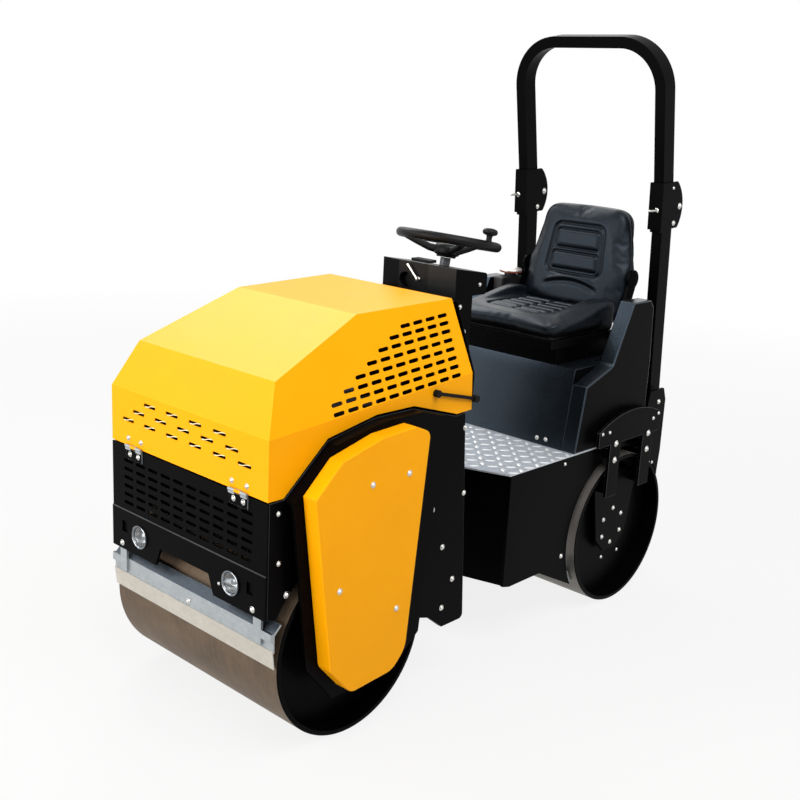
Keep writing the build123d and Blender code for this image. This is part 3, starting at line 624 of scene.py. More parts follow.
# the upward faces above the shelf take the darker copy, painted shade under the panel
paintFaces(bm, 1, lambda at, normal: normal.z > 0.5 and at.z > shelfLow.z)
bmesh.ops.bisect_plane(bm, geom=bm.verts[:] + bm.edges[:] + bm.faces[:],
                       plane_co=bladeTop, plane_no=(0, 0, 1))
paintFaces(bm, 2, lambda at, normal: at.z < bladeTop.z)
roundEdges(bm, scraperLook["edge"])
piece = finishPiece("frontScraper", bm, "front_frame", "galvanised_steel", extra=["shelfSteelShade", "bladeSteel"])
flattenShading(piece)
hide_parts("front_scraper")
print("scraper shaped")

# hood

hoodLook = {
    "foldRadius": 6,
    "noseSlot": (56, 11),  # length and width
    "noseRows": ((898, -164, 4), (867, -217, 5), (836, -269, 6)),  # height, first slot, how many
    "nosePitch": 105,
    # the lip's middle line from left to right: across, up
    "lip": ((-23, -4.5), (-9, -3.2), (1, 0.4), (9, 3), (23, 4.2)),
    "lipWidth": 2.6,
    "lipDepth": 0.6,
    "lipThick": 1.5,
    "sideSlot": (41, 11.5),
    "sidePitch": 52.6,
    "sideRows": ((1158, 4), (1136, 5), (1113, 6), (1088, 7), (1063, 8), (1038, 9), (1014, 10), (990, 10)),
    "sideLast": 411,  # rearmost slot, behind the front axle
    "sideFall": 0.078,  # the rows fall this much towards the rear
    "lean": 0.41,  # the upper side comes in this much for each mm of height
    "bend": (924, 0.083),  # height of the side fold at the nose, and its rise
    "halfWidth": 352,
    "noseY": -307,
    "knuckleY": -308,
}
cutterDepth = 30  # mm, half of it on each side of the sheet


def noseSlotPlaces():
    look = hoodLook
    return [place(first + i * look["nosePitch"], look["noseY"], z)
            for z, first, count in look["noseRows"] for i in range(count)]


def hoodCutter():
    look, cutter = hoodLook, bmesh.new()
    for middle in noseSlotPlaces():
        addPrism(cutter, middle, (1, 0, 0), (0, 0, 1), slotOutline(*look["noseSlot"]), cutterDepth)
    for hand in (1, -1):
        for height, count in look["sideRows"]:
            for i in range(count):
                back = i * look["sidePitch"]
                y, z = look["sideLast"] - back, height - back * look["sideFall"]
                bendZ = look["bend"][0] + look["bend"][1] * (y - look["noseY"])
                x = look["halfWidth"] - look["lean"] * (z - bendZ)
                addPrism(cutter, place(hand * x, y, z),
                         (0, 1, look["sideFall"]), (-hand * look["lean"], 0, 1),
                         slotOutline(*look["sideSlot"]), cutterDepth)
    return cutter


def addLip(bm, middle, look):
    # a bent strip of the sheet, left standing across the slot when it was pressed
    rings = []
    half, thick = look["lipWidth"] / 2000, look["lipThick"] / 1000
    for x, z in look["lip"]:
        spot = middle + Vector((x / 1000, look["lipDepth"] / 1000, z / 1000))
        rings.append([bm.verts.new(spot + Vector((0, a, b))) for a, b in
                      ((0, -half), (thick, -half), (thick, half), (0, half))])
    for low, high in zip(rings, rings[1:]):
        joinRings(bm, low, high)
    bm.faces.new(rings[0][::-1])
    bm.faces.new(rings[-1])


bm = copyOfNode("hood")
# the hinge knuckles on the hood stay bare
paintFaces(bm, 1, lambda at, normal: at.y < place(0, hoodLook["knuckleY"], 0).y)
roundEdges(bm, hoodLook["foldRadius"], 4, 5, 75)
hood = finishPiece("hoodSkin", bm, "hood", "yellow_paint", extra=["galvanised_steel"])
cutAway(hood, hoodCutter())
flattenShading(hood)
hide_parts("hood")
lips = bmesh.new()
for middle in noseSlotPlaces():
    addLip(lips, middle, hoodLook)
# the lips take the pale cream, a painted highlight
finishPiece("hoodSlotLips", lips, "hood", "yellow_paint", "lipHighlight")
print("hood cut")

# grille and lamp panel

panelLook = {
    "slot": (46, 10),
    "rows": (711, 685, 659, 633, 607, 581),
    "pitch": 60,
    "columns": 10,
    "lampSlot": (26, 34),
    "lampSlotAt": (289, 503),
    "front": -305,
    "lampSheetFront": -312,
    "lampSlotDepth": 16,
    "foldRadius": 3,
    "fold": (-309, 557),  # the fold lies forward of the first, at the height of the second
}


def grilleCutter():
    look, cutter = panelLook, bmesh.new()
    for z in look["rows"]:
        for i in range(look["columns"]):
            x = (i - (look["columns"] - 1) / 2) * look["pitch"]
            addPrism(cutter, place(x, look["front"], z), (1, 0, 0), (0, 0, 1),
                     slotOutline(*look["slot"]), cutterDepth)
    for hand in (1, -1):
        x, z = look["lampSlotAt"]
        addPrism(cutter, place(hand * x, look["lampSheetFront"], z), (1, 0, 0), (0, 0, 1),
                 boxOutline(*look["lampSlot"]), look["lampSlotDepth"])
    return cutter


fold = place(0, *panelLook["fold"])
bm = copyOfNode("front_panel")
# the fold's rolled edge takes the paler edge paint, a painted highlight
roundEdges(bm, panelLook["foldRadius"], 3, 60, 120, edgeIndex=1,
           only=lambda edge: all(abs(vert.co.z - fold.z) < 1e-4 and vert.co.y < fold.y
                                 for vert in edge.verts))
panel = finishPiece("grillePanel", bm, "front_frame", "black_paint", extra=["edgeHighlight"])
cutAway(panel, grilleCutter())
flattenShading(panel)
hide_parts("front_panel")
print("grille cut")

# headlights

lampLook = {
    "x": 211, "z": 493, "front": -316,
    # turned profiles of (radius, depth)
    "bezel": ((35.5, 8), (36, 3), (35.2, 0.8), (33.5, 0), (31, 1.4), (29.6, 4), (29.2, 7)),
    "bowl": ((29.5, 6), (28, 12), (23.5, 20), (16, 27), (8, 31), (5, 32)),
    "lens": ((0, 2.2), (14, 2.5), (23, 3.2), (29, 4.8), (29, 6.6), (23, 5), (14, 4.2), (0, 4)),
    "bulb": ((0, 12), (6, 12.5), (9, 15), (9.5, 21), (8, 33)),
}


def openTurned(bm, centre, axis, profile, thick=0.8, steps=40):
    # a turned sheet with a real thickness in mm
    loop = list(profile) + [(r, h + thick) for r, h in reversed(profile)]
    rings = turnedRings(bm, centre, axis, loop, steps)
    for low, high in zip(rings, rings[1:] + rings[:1]):
        joinRings(bm, low, high)


for hand, word in ((1, "Left"), (-1, "Right")):
    spot = place(hand * lampLook["x"], lampLook["front"], lampLook["z"])
    bezel = bmesh.new()
    openTurned(bezel, spot, (0, 1, 0), lampLook["bezel"])
    addTurned(bezel, spot, (0, 1, 0), lampLook["bulb"])
    bezelPiece = finishPiece("lampBezel" + word, bezel, "front_frame", "lamp")
    bowl = bmesh.new()
    openTurned(bowl, spot, (0, 1, 0), lampLook["bowl"])
    # the bowl's colour carries painted reflections
    finishPiece("lampBowl" + word, bowl, "front_frame", "lamp", "bowlReflections")
    if hand == 1:
        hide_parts("headlights")
    lens = bmesh.new()
    addTurned(lens, spot, (0, 1, 0), lampLook["lens"], 40)
    finishPiece("lampLens" + word, lens, "front_frame", "lens")
print("lamps made")

# bolts

boltLook = {"washer": 1.45, "head": 0.75}  # of the head's radius
# rear hub carriers: side, ring radius, bolt radius and count, then two smaller bolts off the axle
carrierBolts = {
    "x": 339.5, "ring": 67, "radius": 6, "count": 6,
    "small": ((-50, -115), (54, -112)), "smallRadius": 4.5,
}

# body: rows of (x, behind front axle, z, direction, radius, on both sides)
boltRows = {
    "front_frame": [
        (352, -270, 722, "x", 5.5, 1), (352, -266, 583, "x", 5.5, 1), (352, -236, 486, "x", 7.5, 1),
        (352, 464, 822, "x", 6, 1), (352, 478, 611, "x", 6, 1), (352, 336, 588, "x", 6.5, 1),
        (352, 392, 455, "x", 6.5, 1), (352, 449, 334, "x", 6.5, 1), (352, 406, 249, "x", 6.5, 1),
        (440, 127, 772, "x", 6.5, 1), (440, -16, 769, "x", 6.5, 1),
        (440, -126, 493, "x", 6.5, 1), (440, 101, 374, "x", 6.5, 1),
        (302, -310, 448, "-y", 6.5, 1), (160, -310, 474, "-y", 3.5, 0),
        (257, -309, 736, "-y", 6, 1), (217, -309, 736, "-y", 6, 1),
        (0, -293, 360, "-y", 6, 0),
        (160, 635, 1142, "x", 5.5, 1), (160, 662, 1059, "x", 5.5, 1), (160, 682, 985, "x", 5.5, 1),
        (158, 729, 1206, "x", 4.5, 1),
    ],
    "hood": [(268, -307, 782, "-y", 5.5, 1), (206, -307, 782, "-y", 5.5, 1)],
    "rear_frame": [
        (389.5, 1482, 628, "x", 8, 1), (389.5, 1482, 567, "x", 8, 1),
        (389.5, 1268, 628, "x", 8, 1), (389.5, 1268, 567, "x", 8, 1),
        (389.5, 1176, 678, "x", 4.5, 1), (389.5, 1220, 677, "x", 4.5, 1),
        (389.5, 1508, 680, "x", 5, 1), (389.5, 1542, 694, "x", 4.5, 1),
        (352, 1600, 720, "x", 6.5, 1), (352, 1598, 482, "x", 4.5, 1),
        (352, 1016, 593, "x", 4.5, 1), (352, 1042, 249, "x", 6, 1),
        (329, 1632, 1443, "x", 8, 1), (329, 1602, 1383, "x", 6.5, 1), (329, 1577, 1508, "x", 4, 1),
        (-274, 1630, 1443, "x", 8, 2), (-274, 1594, 1383, "x", 6.5, 2),
        (194, 1062, 641, "-y", 5.5, 0), (232, 1062, 643, "-y", 5.5, 0),
    ],
}
directions = {"x": Vector((1, 0, 0)), "-y": Vector((0, -1, 0))}


def domedBolt(bm, spot, direction, radius):
    # a domed head on a plain washer 1.6 mm thick
    w, h = radius * boltLook["washer"], radius * boltLook["head"]
    profile = [(w, 0.05), (w, 1.2), (w * 0.95, 1.6), (radius * 1.05, 1.6), (radius, 2.2)]
    dome = ((0.92, 0.5), (0.72, 0.82), (0.42, 0.97), (0, 1))
    profile += [(radius * share, 1.6 + h * rise) for share, rise in dome]
    addTurned(bm, spot, direction, profile, 20)


# the pin that holds the raised hoop, through the front of each post's channel
pinLook = {"x": 309, "front": 1513, "z": 1429,
           "profile": ((9, -0.5), (9, 3), (6, 5), (4.2, 8), (4.2, 50), (3, 53), (0, 54))}


def addRearSet(bm):
    # the hub carriers' bolts and the hoop's pins, on both sides
    look = carrierBolts
    axle, height = wheelbase * 1000, (lowRear.z + highRear.z) * 500
    turns = [2 * math.pi * i / look["count"] for i in range(look["count"])]
    for hand in (1, -1):
        away = Vector((hand, 0, 0))
        for turn in turns:
            y, z = look["ring"] * math.sin(turn), look["ring"] * math.cos(turn)
            domedBolt(bm, place(hand * look["x"], axle + y, height + z), away, look["radius"])
        for y, z in look["small"]:
            domedBolt(bm, place(hand * look["x"], axle + y, height + z), away, look["smallRadius"])
        addTurned(bm, place(hand * pinLook["x"], pinLook["front"], pinLook["z"]), (0, -1, 0),
                  pinLook["profile"], 20)


for body, rows in boltRows.items():
    bm = bmesh.new()
    for x, y, z, way, radius, mirrored in rows:
        for hand in ((1, -1) if mirrored else (1,)):
            direction = directions[way].copy()
            direction.x *= hand
            domedBolt(bm, place(hand * x, y, z), direction, radius)
    if body == "rear_frame":
        addRearSet(bm)
    finishPiece(body.split("_")[0] + "Bolts", bm, body, "zinc", smoothAngle=50)
print("bolts set")

# floor lozenges

treadLook = {
    "pitch": 43, "length": 36, "width": 15, "height": 1.6,
    # a lozenge's outline, (along, across), in shares of its half length and width
    "outline": ((-1, 0), (-0.5, -0.75), (0, -1), (0.5, -0.75), (1, 0), (0.5, 0.75), (0, 1), (-0.5, 0.75)),
    "top": (0.72, 0.5),  # share of the outline that the flat top keeps
    "x": 344, "front": 640, "back": 1055, "rim": 18,
    "frontRow": 662,
    "corner": (352, 734), "slant": 72 / 202,  # the front edge runs in from the side corners
}


def lozenge(bm, centre, turn, look):
    # one raised bar of the tread plate, pointed at both ends
    length, width, height = look["length"] / 2000, look["width"] / 2000, look["height"] / 1000
    along = Vector((math.cos(turn), math.sin(turn), 0))
    across = Vector((-along.y, along.x, 0))
    low = [bm.verts.new(centre + along * a * length + across * b * width) for a, b in look["outline"]]
    top, (keepLong, keepWide) = centre + Vector((0, 0, height)), look["top"]
    high = [bm.verts.new(top + along * a * length * keepLong + across * b * width * keepWide)
            for a, b in look["outline"]]
    joinRings(bm, low, high)
    bm.faces.new(high)
    bm.faces.new(low[::-1])


bm = bmesh.new()
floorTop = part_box("floor_plate")[1].z * 1000
columns = int(2 * treadLook["x"] / treadLook["pitch"])
rows = int((treadLook["back"] - treadLook["front"]) / treadLook["pitch"])
for i in range(columns + 1):
    for j in range(rows + 1):
        x = (i - columns / 2) * treadLook["pitch"]
        y = treadLook["back"] - treadLook["rim"] - j * treadLook["pitch"]
        cornerX, cornerY = treadLook["corner"]
        if y < cornerY - (cornerX - abs(x)) * treadLook["slant"] or y < treadLook["frontRow"]:
            continue
        lozenge(bm, place(x, y, floorTop), math.radians(45 if (i + j) % 2 else -45), treadLook)
# the raised bars take the near-white aluminium, worn bright and partly painted highlight
finishPiece("floorTread", bm, "rear_frame", "checker_plate", material="lozengeWearAndHighlight", smoothAngle=10)
print("tread plate made")

# console

consoleLook = {
    "edge": 3,
    "front": 584,
    "top": 1268,
    "hole": (-33, 1207, 26), "holeDepth": 34,  # across, height, radius
    "grommet": ((3, -0.1), (2, -1.5), (0, -1.5), (-1, 0)),  # (beyond the hole's radius, depth)
    "lid": ((-32, 46), (606, 640), 9), "lidEdge": 1.5,  # left and right, front and back, height
    # the lever's points, with its radius at each
    "lever": (((-17, 572, 1260), 4.2), ((4, 573, 1238.5), 3.6), ((25, 574, 1217), 4.4)),
    "leverBoss": ((7, -2), (7, 3), (4, 5), (4, 13), (0, 13)),
}

bm = copyOfNode("console")
# the two ends and the facet on the right-hand side are painted shade: they take the black paint instead of
# the charcoal
paintFaces(bm, 1, lambda at, normal: normal.x > 0.9 or normal.x < -0.15)
roundEdges(bm, consoleLook["edge"], 3, 8)
console = finishPiece("consoleBody", bm, "front_frame", "console_paint", extra=["black_paint"])
holeX, holeZ, holeRadius = consoleLook["hole"]
hole = place(holeX, consoleLook["front"], holeZ)
cutter = bmesh.new()
addTurned(cutter, hole, (0, 1, 0), [(holeRadius, -5), (holeRadius, consoleLook["holeDepth"])], 32)
cutAway(console, cutter)
flattenShading(console)
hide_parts("console")


def addTube(bm, points, radii, steps=12):
    # a closed tube through points in metres, with a radius in mm for each
    rings = []
    side = None
    for i, point in enumerate(points):
        ahead = (points[min(i + 1, len(points) - 1)] - points[max(i - 1, 0)]).normalized()
        if side is None:
            side = ahead.orthogonal().normalized()
        side = (side - ahead * side.dot(ahead)).normalized()
        rings.append(addRing(bm, point, side, ahead.cross(side), radii[i], steps))
    for low, high in zip(rings, rings[1:]):
        joinRings(bm, low, high)
    bm.faces.new(rings[0][::-1])
    bm.faces.new(rings[-1])


bm = bmesh.new()
openTurned(bm, hole, (0, 1, 0), [(holeRadius + r, depth) for r, depth in consoleLook["grommet"]], 1.2)
addTurned(bm, hole, (0, 1, 0), [(0, 20), (holeRadius - 4, 20), (holeRadius - 0.5, 30), (0, 30)], 32)
(lidLeft, lidRight), (lidFront, lidBack), lidHigh = consoleLook["lid"]
lidMiddle = place((lidLeft + lidRight) / 2, (lidFront + lidBack) / 2, consoleLook["top"] + lidHigh / 2 - 1)
addPrism(bm, lidMiddle, (1, 0, 0), (0, 1, 0), boxOutline(lidRight - lidLeft, lidBack - lidFront), lidHigh)
roundEdges(bm, consoleLook["lidEdge"], 2, 60)
finishPiece("consoleFittings", bm, "front_frame", "wheel_plastic")
bm = bmesh.new()
leverPoints, leverRadii = zip(*consoleLook["lever"])
addTube(bm, [place(*point) for point in leverPoints], leverRadii)
bossX, _, bossZ = leverPoints[-1]
addTurned(bm, place(bossX, consoleLook["front"], bossZ), (0, -1, 0), consoleLook["leverBoss"], 20)
finishPiece("consoleLever", bm, "front_frame", "zinc")
print("console made")

# steering wheel

wheelLook = {
    "middle": (748, 1330), "tilt": 10,
    "ring": 160, "rim": (15.5, 15), "around": 72, "section": 16,
    "grip": 0.012,  # every second section of the rim is this much thicker
    "spokeTurns": (90, 210, 330),
    # (reach, height, half width) from the hub out
    "spoke": ((30, -36, 14), (60, -33, 12.5), (105, -20, 11), (140, -7, 11.5), (158, 0, 10)),
    "hub": ((0, -13.5), (18, -14), (30, -15), (38, -18), (41.5, -23), (42, -46), (39, -50), (33, -52),
            (31, -58.5), (0, -58.5)),
    "knobTurn": 2,  # degrees round from the machine's left
    "stem": ((13, 7), (10, 15), (9, 24), (11, 34)),
    "knob": ((0, 32), (12, 32.5), (20, 35), (24.5, 40), (24.8, 46), (21, 52), (11, 55.3), (0, 56)),
}


def buildWheel():
    look, bm = wheelLook, bmesh.new()
    tilt = Matrix.Rotation(math.radians(-look["tilt"]), 4, "X")
    home = Matrix.Translation(place(0, *look["middle"])) @ tilt
    around, section = look["around"], look["section"]
    rings = []
    for i in range(around):
        turn = 2 * math.pi * i / around
        grip = 1 + look["grip"] * (i % 2)
        ring = []
        for k in range(section):
            a = 2 * math.pi * k / section
            reach = look["ring"] + look["rim"][1] * math.cos(a) * grip
            ring.append(bm.verts.new((reach * math.cos(turn) / 1000, reach * math.sin(turn) / 1000,
                                      look["rim"][0] * math.sin(a) / 1000)))
        rings.append(ring)
    for low, high in zip(rings, rings[1:] + rings[:1]):
        joinRings(bm, low, high)
    for turn in look["spokeTurns"]:
        flat = Matrix.Rotation(math.radians(turn), 3, "Z")
        points = [flat @ Vector((r / 1000, 0, z / 1000)) for r, z, half in look["spoke"]]
        addTube(bm, points, [half for r, z, half in look["spoke"]], 14)
    addTurned(bm, Vector((0, 0, 0)), (0, 0, -1), [(r, -z) for r, z in look["hub"]], 36)
    turn = math.radians(look["knobTurn"])
    spot = Vector((math.cos(turn), math.sin(turn), 0)) * look["ring"] / 1000
    addTurned(bm, spot, (0, 0, 1), look["stem"], 20)
    addTurned(bm, spot, (0, 0, 1), look["knob"], 28)
    bm.transform(home)
    return bm


wheel = finishPiece("steeringWheel", buildWheel(), "steering_wheel", "wheel_plastic", smoothAngle=50)
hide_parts("steering_wheel")
print("steering wheel made")

# the column is fixed to the front frame; only the wheel turns
bm = roundEdges(copyOfNode("steering_column"), 1)
column = finishPiece("steeringColumn", bm, "front_frame", "zinc", "columnSteel")
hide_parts("steering_column")

# filler cap

lowCap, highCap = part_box("filler_cap")
capMiddle = Vector(((lowCap.x + highCap.x) / 2, (lowCap.y + highCap.y) / 2, lowCap.z))
# turned profiles of (radius, height)
capLook = {
    "top": ((44, 18), (44, 21), (42.5, 24), (38, 26.5), (26, 27.6), (0, 28)),
    "gasket": ((0, 10.5), (40, 10.5), (43.5, 12), (43.5, 18), (0, 18)),
    "neck": ((24, 0), (24, 11)),
}
for name, key, finish in (("fillerCapTop", "top", "cap"), ("fillerCapGasket", "gasket", "gasket"),
                          ("fillerNeck", "neck", "tank_plastic")):
    bm = bmesh.new()
    addTurned(bm, capMiddle, (0, 0, 1), capLook[key], 48)
    piece = finishPiece(name, bm, "rear_frame", finish)
    if key == "top":
        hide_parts("filler_cap")
print("filler cap made")

# seat cushions

seatLook = {
    "roll": {"seat_cushion": 26, "seat_backrest": 30},  # edge radii in mm
    "shrink": 1,  # mm that each face starts inside the plain block
    "voxel": 5.5,  # mm between the vertices of the cover
    "ease": 10,
    "pressure": 4, "stiffness": 12, "frames": 14,
    "reach": 12,  # mm, the furthest that the air may move the cover
    "calm": 14,  # rounds of smoothing that take small folds out of the stretched vinyl
}


def gaussian(distance, width):
    return math.exp(-(distance / width) ** 2)


def boxDistance(a, b, halfA, halfB, corner):
    # how far a point lies outside a rounded rectangle, negative inside
    qa, qb = abs(a) - halfA + corner, abs(b) - halfB + corner
    outside = math.hypot(max(qa, 0), max(qb, 0))
    return outside + min(max(qa, qb), 0) - corner


def puffed(node, name):
    # a closed pad swollen a little by air pressure, as foam swells its cover
    look = seatLook
    bm = roundEdges(copyOfNode(node), look["roll"][node], 4, 40)
    pad = finishPiece(name, bm, bodyOf(node), "black_vinyl", smoothAngle=180)
    low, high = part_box(node)
    middle = (low + high) / 2
    size = high - low
    for vert in pad.data.vertices:
        for axis in range(3):
            scale = 1 - 2 * look["shrink"] / 1000 / size[axis]
            vert.co[axis] = middle[axis] + (vert.co[axis] - middle[axis]) * scale
    net = pad.modifiers.new("remesh", "REMESH")
    net.mode = "VOXEL"
    net.voxel_size = look["voxel"] / 1000
    ease = pad.modifiers.new("ease", "SMOOTH")
    ease.iterations = look["ease"]
    keepEvaluated(pad)
    start = [vert.co.copy() for vert in pad.data.vertices]
    cloth = pad.modifiers.new("cloth", "CLOTH")
    cloth.settings.use_pressure = True
    cloth.settings.uniform_pressure_force = look["pressure"]
    cloth.settings.bending_stiffness = look["stiffness"]
    cloth.settings.effector_weights.gravity = 0
    cloth.point_cache.frame_start = 1
    cloth.point_cache.frame_end = look["frames"]
    scene = bpy.context.scene
    for step in range(1, look["frames"] + 1):
        scene.frame_set(step)
    bpy.context.view_layer.update()
    shaped = pad.evaluated_get(bpy.context.evaluated_depsgraph_get())
    moved = [vert.co.copy() for vert in shaped.data.vertices]
    pad.modifiers.clear()
    limit = look["reach"] / 1000
    for vert, old, new in zip(pad.data.vertices, start, moved):
        step = new - old
        if step.length > limit:
            step *= limit / step.length
        vert.co = old + step
    scene.frame_set(1)
    calm = pad.modifiers.new("calm", "SMOOTH")
    calm.iterations = look["calm"]
    keepEvaluated(pad)
    return pad


def keepInside(pad, low, high):
    for vert in pad.data.vertices:
        for axis in range(3):
            vert.co[axis] = min(max(vert.co[axis], low[axis]), high[axis])


def makeFiner(pad):
    # one subdivision, applied
    finer = pad.modifiers.new("finer", "SUBSURF")
    finer.levels = finer.render_levels = 1
    keepEvaluated(pad)


def readNormals(pad):
    # every vertex with its normal as it is before any of them moves
    pad.data.update()
    return list(zip(pad.data.vertices, [vert.normal.copy() for vert in pad.data.vertices]))


cushionLook = {
    "panel": (128, 1125, 1398),  # half width, front, back
    "corner": 30,
    "channel": (7, 9),  # width and depth of a sewn channel
    "rib": 50,  # from one channel to the next
    "tuck": (56, 24),  # how high the tucked edge reaches, how far it goes in
    "tuckBack": 1338,  # the cover isn't tucked under behind this
    # height in mm of the cushion's lowest band, painted black as shade
    "panRim": 26,
}


def cushionChannels(pad):
    # sewn channels across the middle panel, a seam round it, and the lower edge tucked under
    look = cushionLook
    halfX, front, back = look["panel"]
    width, depth = look["channel"]
    tall, tuck = look["tuck"]
    low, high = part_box("seat_cushion")
    for vert, normal in readNormals(pad):
        x = vert.co.x * 1000
        y = (vert.co.y - frontAxleY) * 1000
        under = max(1 - (vert.co.z - low.z) * 1000 / tall, 0) ** 1.6 * tuck / 1000
        if y < look["tuckBack"]:
            vert.co.x -= normal.x * under
            vert.co.y -= min(normal.y, 0) * under
        up = normal.z
        if up < 0.2:
            continue
        edge = boxDistance(x, y - (front + back) / 2, halfX, (back - front) / 2, look["corner"])
        drop = depth * gaussian(edge, width)
        if edge < 0:
            inside = min(-edge / 12, 1)
            across = (y - front) % look["rib"] - look["rib"] / 2
            drop += inside * depth * 0.9 * gaussian(across, width)
            drop += inside * depth * 0.7 * gaussian(x, width)
        vert.co.z -= drop / 1000 * min(up * 1.2, 1)


backrestLook = {
    "foot": (1449.3, 1008), "lean": 10,
    # heights are counted along the backrest from its foot
    "frame": (250, 92, 116, 26),  # middle, half height, half width, corner radius
    "taper": 0.08,
    "groove": (8, 9),  # width and depth of a sewn seam
    "pads": ((286, 35), (202, 33)),  # middle and half height of each
    "padInset": 17, "padCorner": 14, "padRise": 5,
    "crease": 143, "creaseArch": 20, "creaseReach": 125,
    "shellDepth": 44,  # the side seam lies this far behind the front
}


def backrestPads(pad):
    # two raised pads inside a framed panel, with a lumbar crease and a side seam
    look = backrestLook
    lean = math.radians(look["lean"])
    footY, footZ = look["foot"]
    along = Vector((0, math.sin(lean), math.cos(lean)))
    out = Vector((0, -math.cos(lean), math.sin(lean)))
    foot = place(0, footY, footZ)
    width, depth = look["groove"]
    frameMiddle, frameHigh, frameWide, frameCorner = look["frame"]
    for vert, normal in readNormals(pad):
        arm = vert.co - foot
        x, up, proud = arm.x * 1000, arm.dot(along) * 1000, -arm.dot(out) * 1000
        facing = normal.dot(out)
        if facing > 0.35:
            half = frameWide - look["taper"] * (up - 240)
            edge = boxDistance(x - 2, up - frameMiddle, half, frameHigh, frameCorner)
            move = -depth * gaussian(edge, width * 0.8)
            if edge < 0:
                for middle, high in look["pads"]:
                    rise = boxDistance(x - 2, up - middle, half - look["padInset"], high, look["padCorner"])
                    move -= depth * 0.8 * gaussian(rise, width * 0.6)
                    if rise < 0:
                        move += look["padRise"] * min(-rise / 16, 1)
            crease = up - look["crease"] + look["creaseArch"] * (x / 110) ** 2
            fade = min(max((look["creaseReach"] - abs(x)) / 30, 0), 1)
            move += fade * (5 * gaussian(crease, 8) - 4 * gaussian(crease + 17, 9))
            vert.co += out * move * min(facing * 1.2, 1) / 1000
        elif abs(facing) < 0.6:
            seam = proud - look["shellDepth"]
            dent = 5 * gaussian(seam, 4) + 3 * gaussian(seam - 14, 3)
            vert.co -= normal * dent / 1000


for node, name, shape in (("seat_cushion", "seatCushion", cushionChannels),
                          ("seat_backrest", "seatBackrest", backrestPads)):
    pad = puffed(node, name)
    low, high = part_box(node)
    keepInside(pad, low, high)
    makeFiner(pad)
    shape(pad)
    keepInside(pad, low, high)
    if node == "seat_cushion":
        # painted shade: the lowest band of the cushion takes the black plastic, for the shade under its
        # rolled front
        pad.data.materials.append(materials["wheel_plastic"])
        for face in pad.data.polygons:
            if face.center.z < low.z + cushionLook["panRim"] / 1000:
                face.material_index = 1
    for face in pad.data.polygons:
        face.use_smooth = True
    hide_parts(node)
print("seat cushions made")

# stage, light and camera

stageLook = {
    "floor": "C9C9C7", "size": 60,
    # share of plain white in the floor as it is seen: this much up to the first distance, all of it
    # from the second, so a faint shadow stays under the machine and the floor has no edge
    "seenWhite": 0.84, "whiteFrom": 2.0, "whiteAt": 7.0,
    "world": 0.3, "worldTone": "F4F6FA",
}
# name: place, aimed at, size, watts, colour
stageLights = {
    "key": ((-0.8, -5.4, 1.9), (0, -0.4, 0.7), 4.0, 225, "FFFCF7"),
    "top": ((2.7, -0.9, 4.6), (0, -0.1, 0.9), 3.8, 208, "FFFFFF"),
    "slope": ((-3.0, 0.6, 4.0), (0, -0.8, 1.1), 2.2, 95, "FFFFFF"),
    "fill": ((5.2, 0.6, 1.6), (0, 0, 0.7), 2.4, 6, "F7FAFF"),
    "side": ((-3.4, -3.4, 3.0), (0, 0, 0.8), 2.0, 50, "EEF4FF"),
    "back": ((-2.6, 3.4, 3.6), (0, 0.2, 1.0), 2.0, 20, "FFFFFF"),
}


def seenDirectly(tree):
    # 1 for camera, glossy and transmission rays, which see plain white; all other light sees the real tone
    path = addNode(tree, "ShaderNodeLightPath")
    either = addNode(tree, "ShaderNodeMath", operation="MAXIMUM",
                     links={0: path.outputs["Is Camera Ray"], 1: path.outputs["Is Glossy Ray"]})
    either = addNode(tree, "ShaderNodeMath", operation="MAXIMUM",
                     links={0: either.outputs[0], 1: path.outputs["Is Transmission Ray"]})
    return either.outputs[0]


def buildFloor():
    mesh = bpy.data.meshes.new("studioFloor")
    size = stageLook["size"]
    corners = [(x, y, 0) for x, y in boxOutline(size, size)]
    mesh.from_pydata(corners, [], [(0, 1, 2, 3)])
    floor = bpy.data.objects.new("studioFloor", mesh)
    bpy.context.scene.collection.objects.link(floor)
    material = bpy.data.materials.new("paleFloor")
    material.use_nodes = True
    tree = material.node_tree
    tree.nodes.clear()
    matt = addNode(tree, "ShaderNodeBsdfDiffuse", {"Color": linear(stageLook["floor"])})
    glow = addNode(tree, "ShaderNodeEmission", {"Color": (1, 1, 1, 1), "Strength": 1.0})
    where = addNode(tree, "ShaderNodeTexCoord").outputs["Object"]
    away = addNode(tree, "ShaderNodeVectorMath", links={0: where}, operation="LENGTH")
    span = {"From Min": stageLook["whiteFrom"], "From Max": stageLook["whiteAt"],
            "To Min": stageLook["seenWhite"]}
    white = addNode(tree, "ShaderNodeMapRange", span, {"Value": away.outputs["Value"]})
    share = addNode(tree, "ShaderNodeMath", operation="MULTIPLY",
                    links={0: seenDirectly(tree), 1: white.outputs["Result"]})
    mix = addNode(tree, "ShaderNodeMixShader",
                  links={0: share.outputs[0], 1: matt.outputs[0], 2: glow.outputs[0]})
    addNode(tree, "ShaderNodeOutputMaterial", links={"Surface": mix.outputs[0]})
    mesh.materials.append(material)


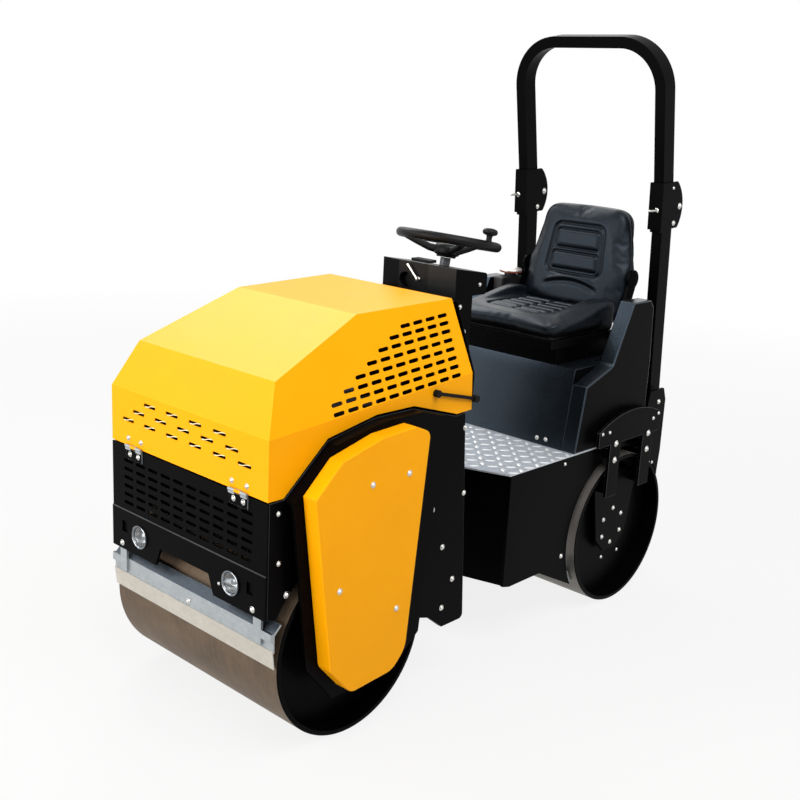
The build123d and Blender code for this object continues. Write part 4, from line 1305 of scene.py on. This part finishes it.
def buildWorld():
    world = bpy.data.worlds.new("studio")
    bpy.context.scene.world = world
    world.use_nodes = True
    tree = world.node_tree
    tree.nodes.clear()
    lit = addNode(tree, "ShaderNodeBackground",
                  {"Color": linear(stageLook["worldTone"]), "Strength": stageLook["world"]})
    seen = addNode(tree, "ShaderNodeBackground", {"Color": (1, 1, 1, 1), "Strength": 1.0})
    mix = addNode(tree, "ShaderNodeMixShader",
                  links={0: seenDirectly(tree), 1: lit.outputs[0], 2: seen.outputs[0]})
    addNode(tree, "ShaderNodeOutputWorld", links={"Surface": mix.outputs[0]})


def buildLights():
    for name, (spot, target, size, watts, colour) in stageLights.items():
        light = bpy.data.lights.new(name, "AREA")
        light.size = size
        light.energy = watts
        light.color = linear(colour)[:3]
        lamp = bpy.data.objects.new(name, light)
        bpy.context.scene.collection.objects.link(lamp)
        lamp.location = spot
        lamp.rotation_euler = (Vector(target) - Vector(spot)).to_track_quat("-Z", "Y").to_euler()


cameraLook = {"azimuth": 42.555, "elevation": 14.921, "roll": 2.953, "spot": (2418.4, -2082.5, 1769.6),
              "lens": 50.925, "sensor": 36}


def buildCamera():
    look = cameraLook
    azimuth, elevation, roll = (math.radians(look[key]) for key in ("azimuth", "elevation", "roll"))
    back = Vector((math.sin(azimuth) * math.cos(elevation), -math.cos(azimuth) * math.cos(elevation),
                   math.sin(elevation)))
    right = (-back).cross(Vector((0, 0, 1))).normalized()
    up = right.cross(-back)
    rolledRight = right * math.cos(roll) + up * math.sin(roll)
    rolledUp = up * math.cos(roll) - right * math.sin(roll)
    camera = bpy.data.objects.new("camera", bpy.data.cameras.new("camera"))
    camera.data.lens = look["lens"]
    camera.data.sensor_width = look["sensor"]
    turn = Matrix((rolledRight, rolledUp, back)).transposed()
    camera.matrix_world = Matrix.Translation(place(*look["spot"])) @ turn.to_4x4()
    bpy.context.scene.collection.objects.link(camera)
    bpy.context.scene.camera = camera


buildFloor()
buildWorld()
buildLights()
buildCamera()
bpy.context.scene.view_settings.view_transform = "Standard"
print("scene ready")
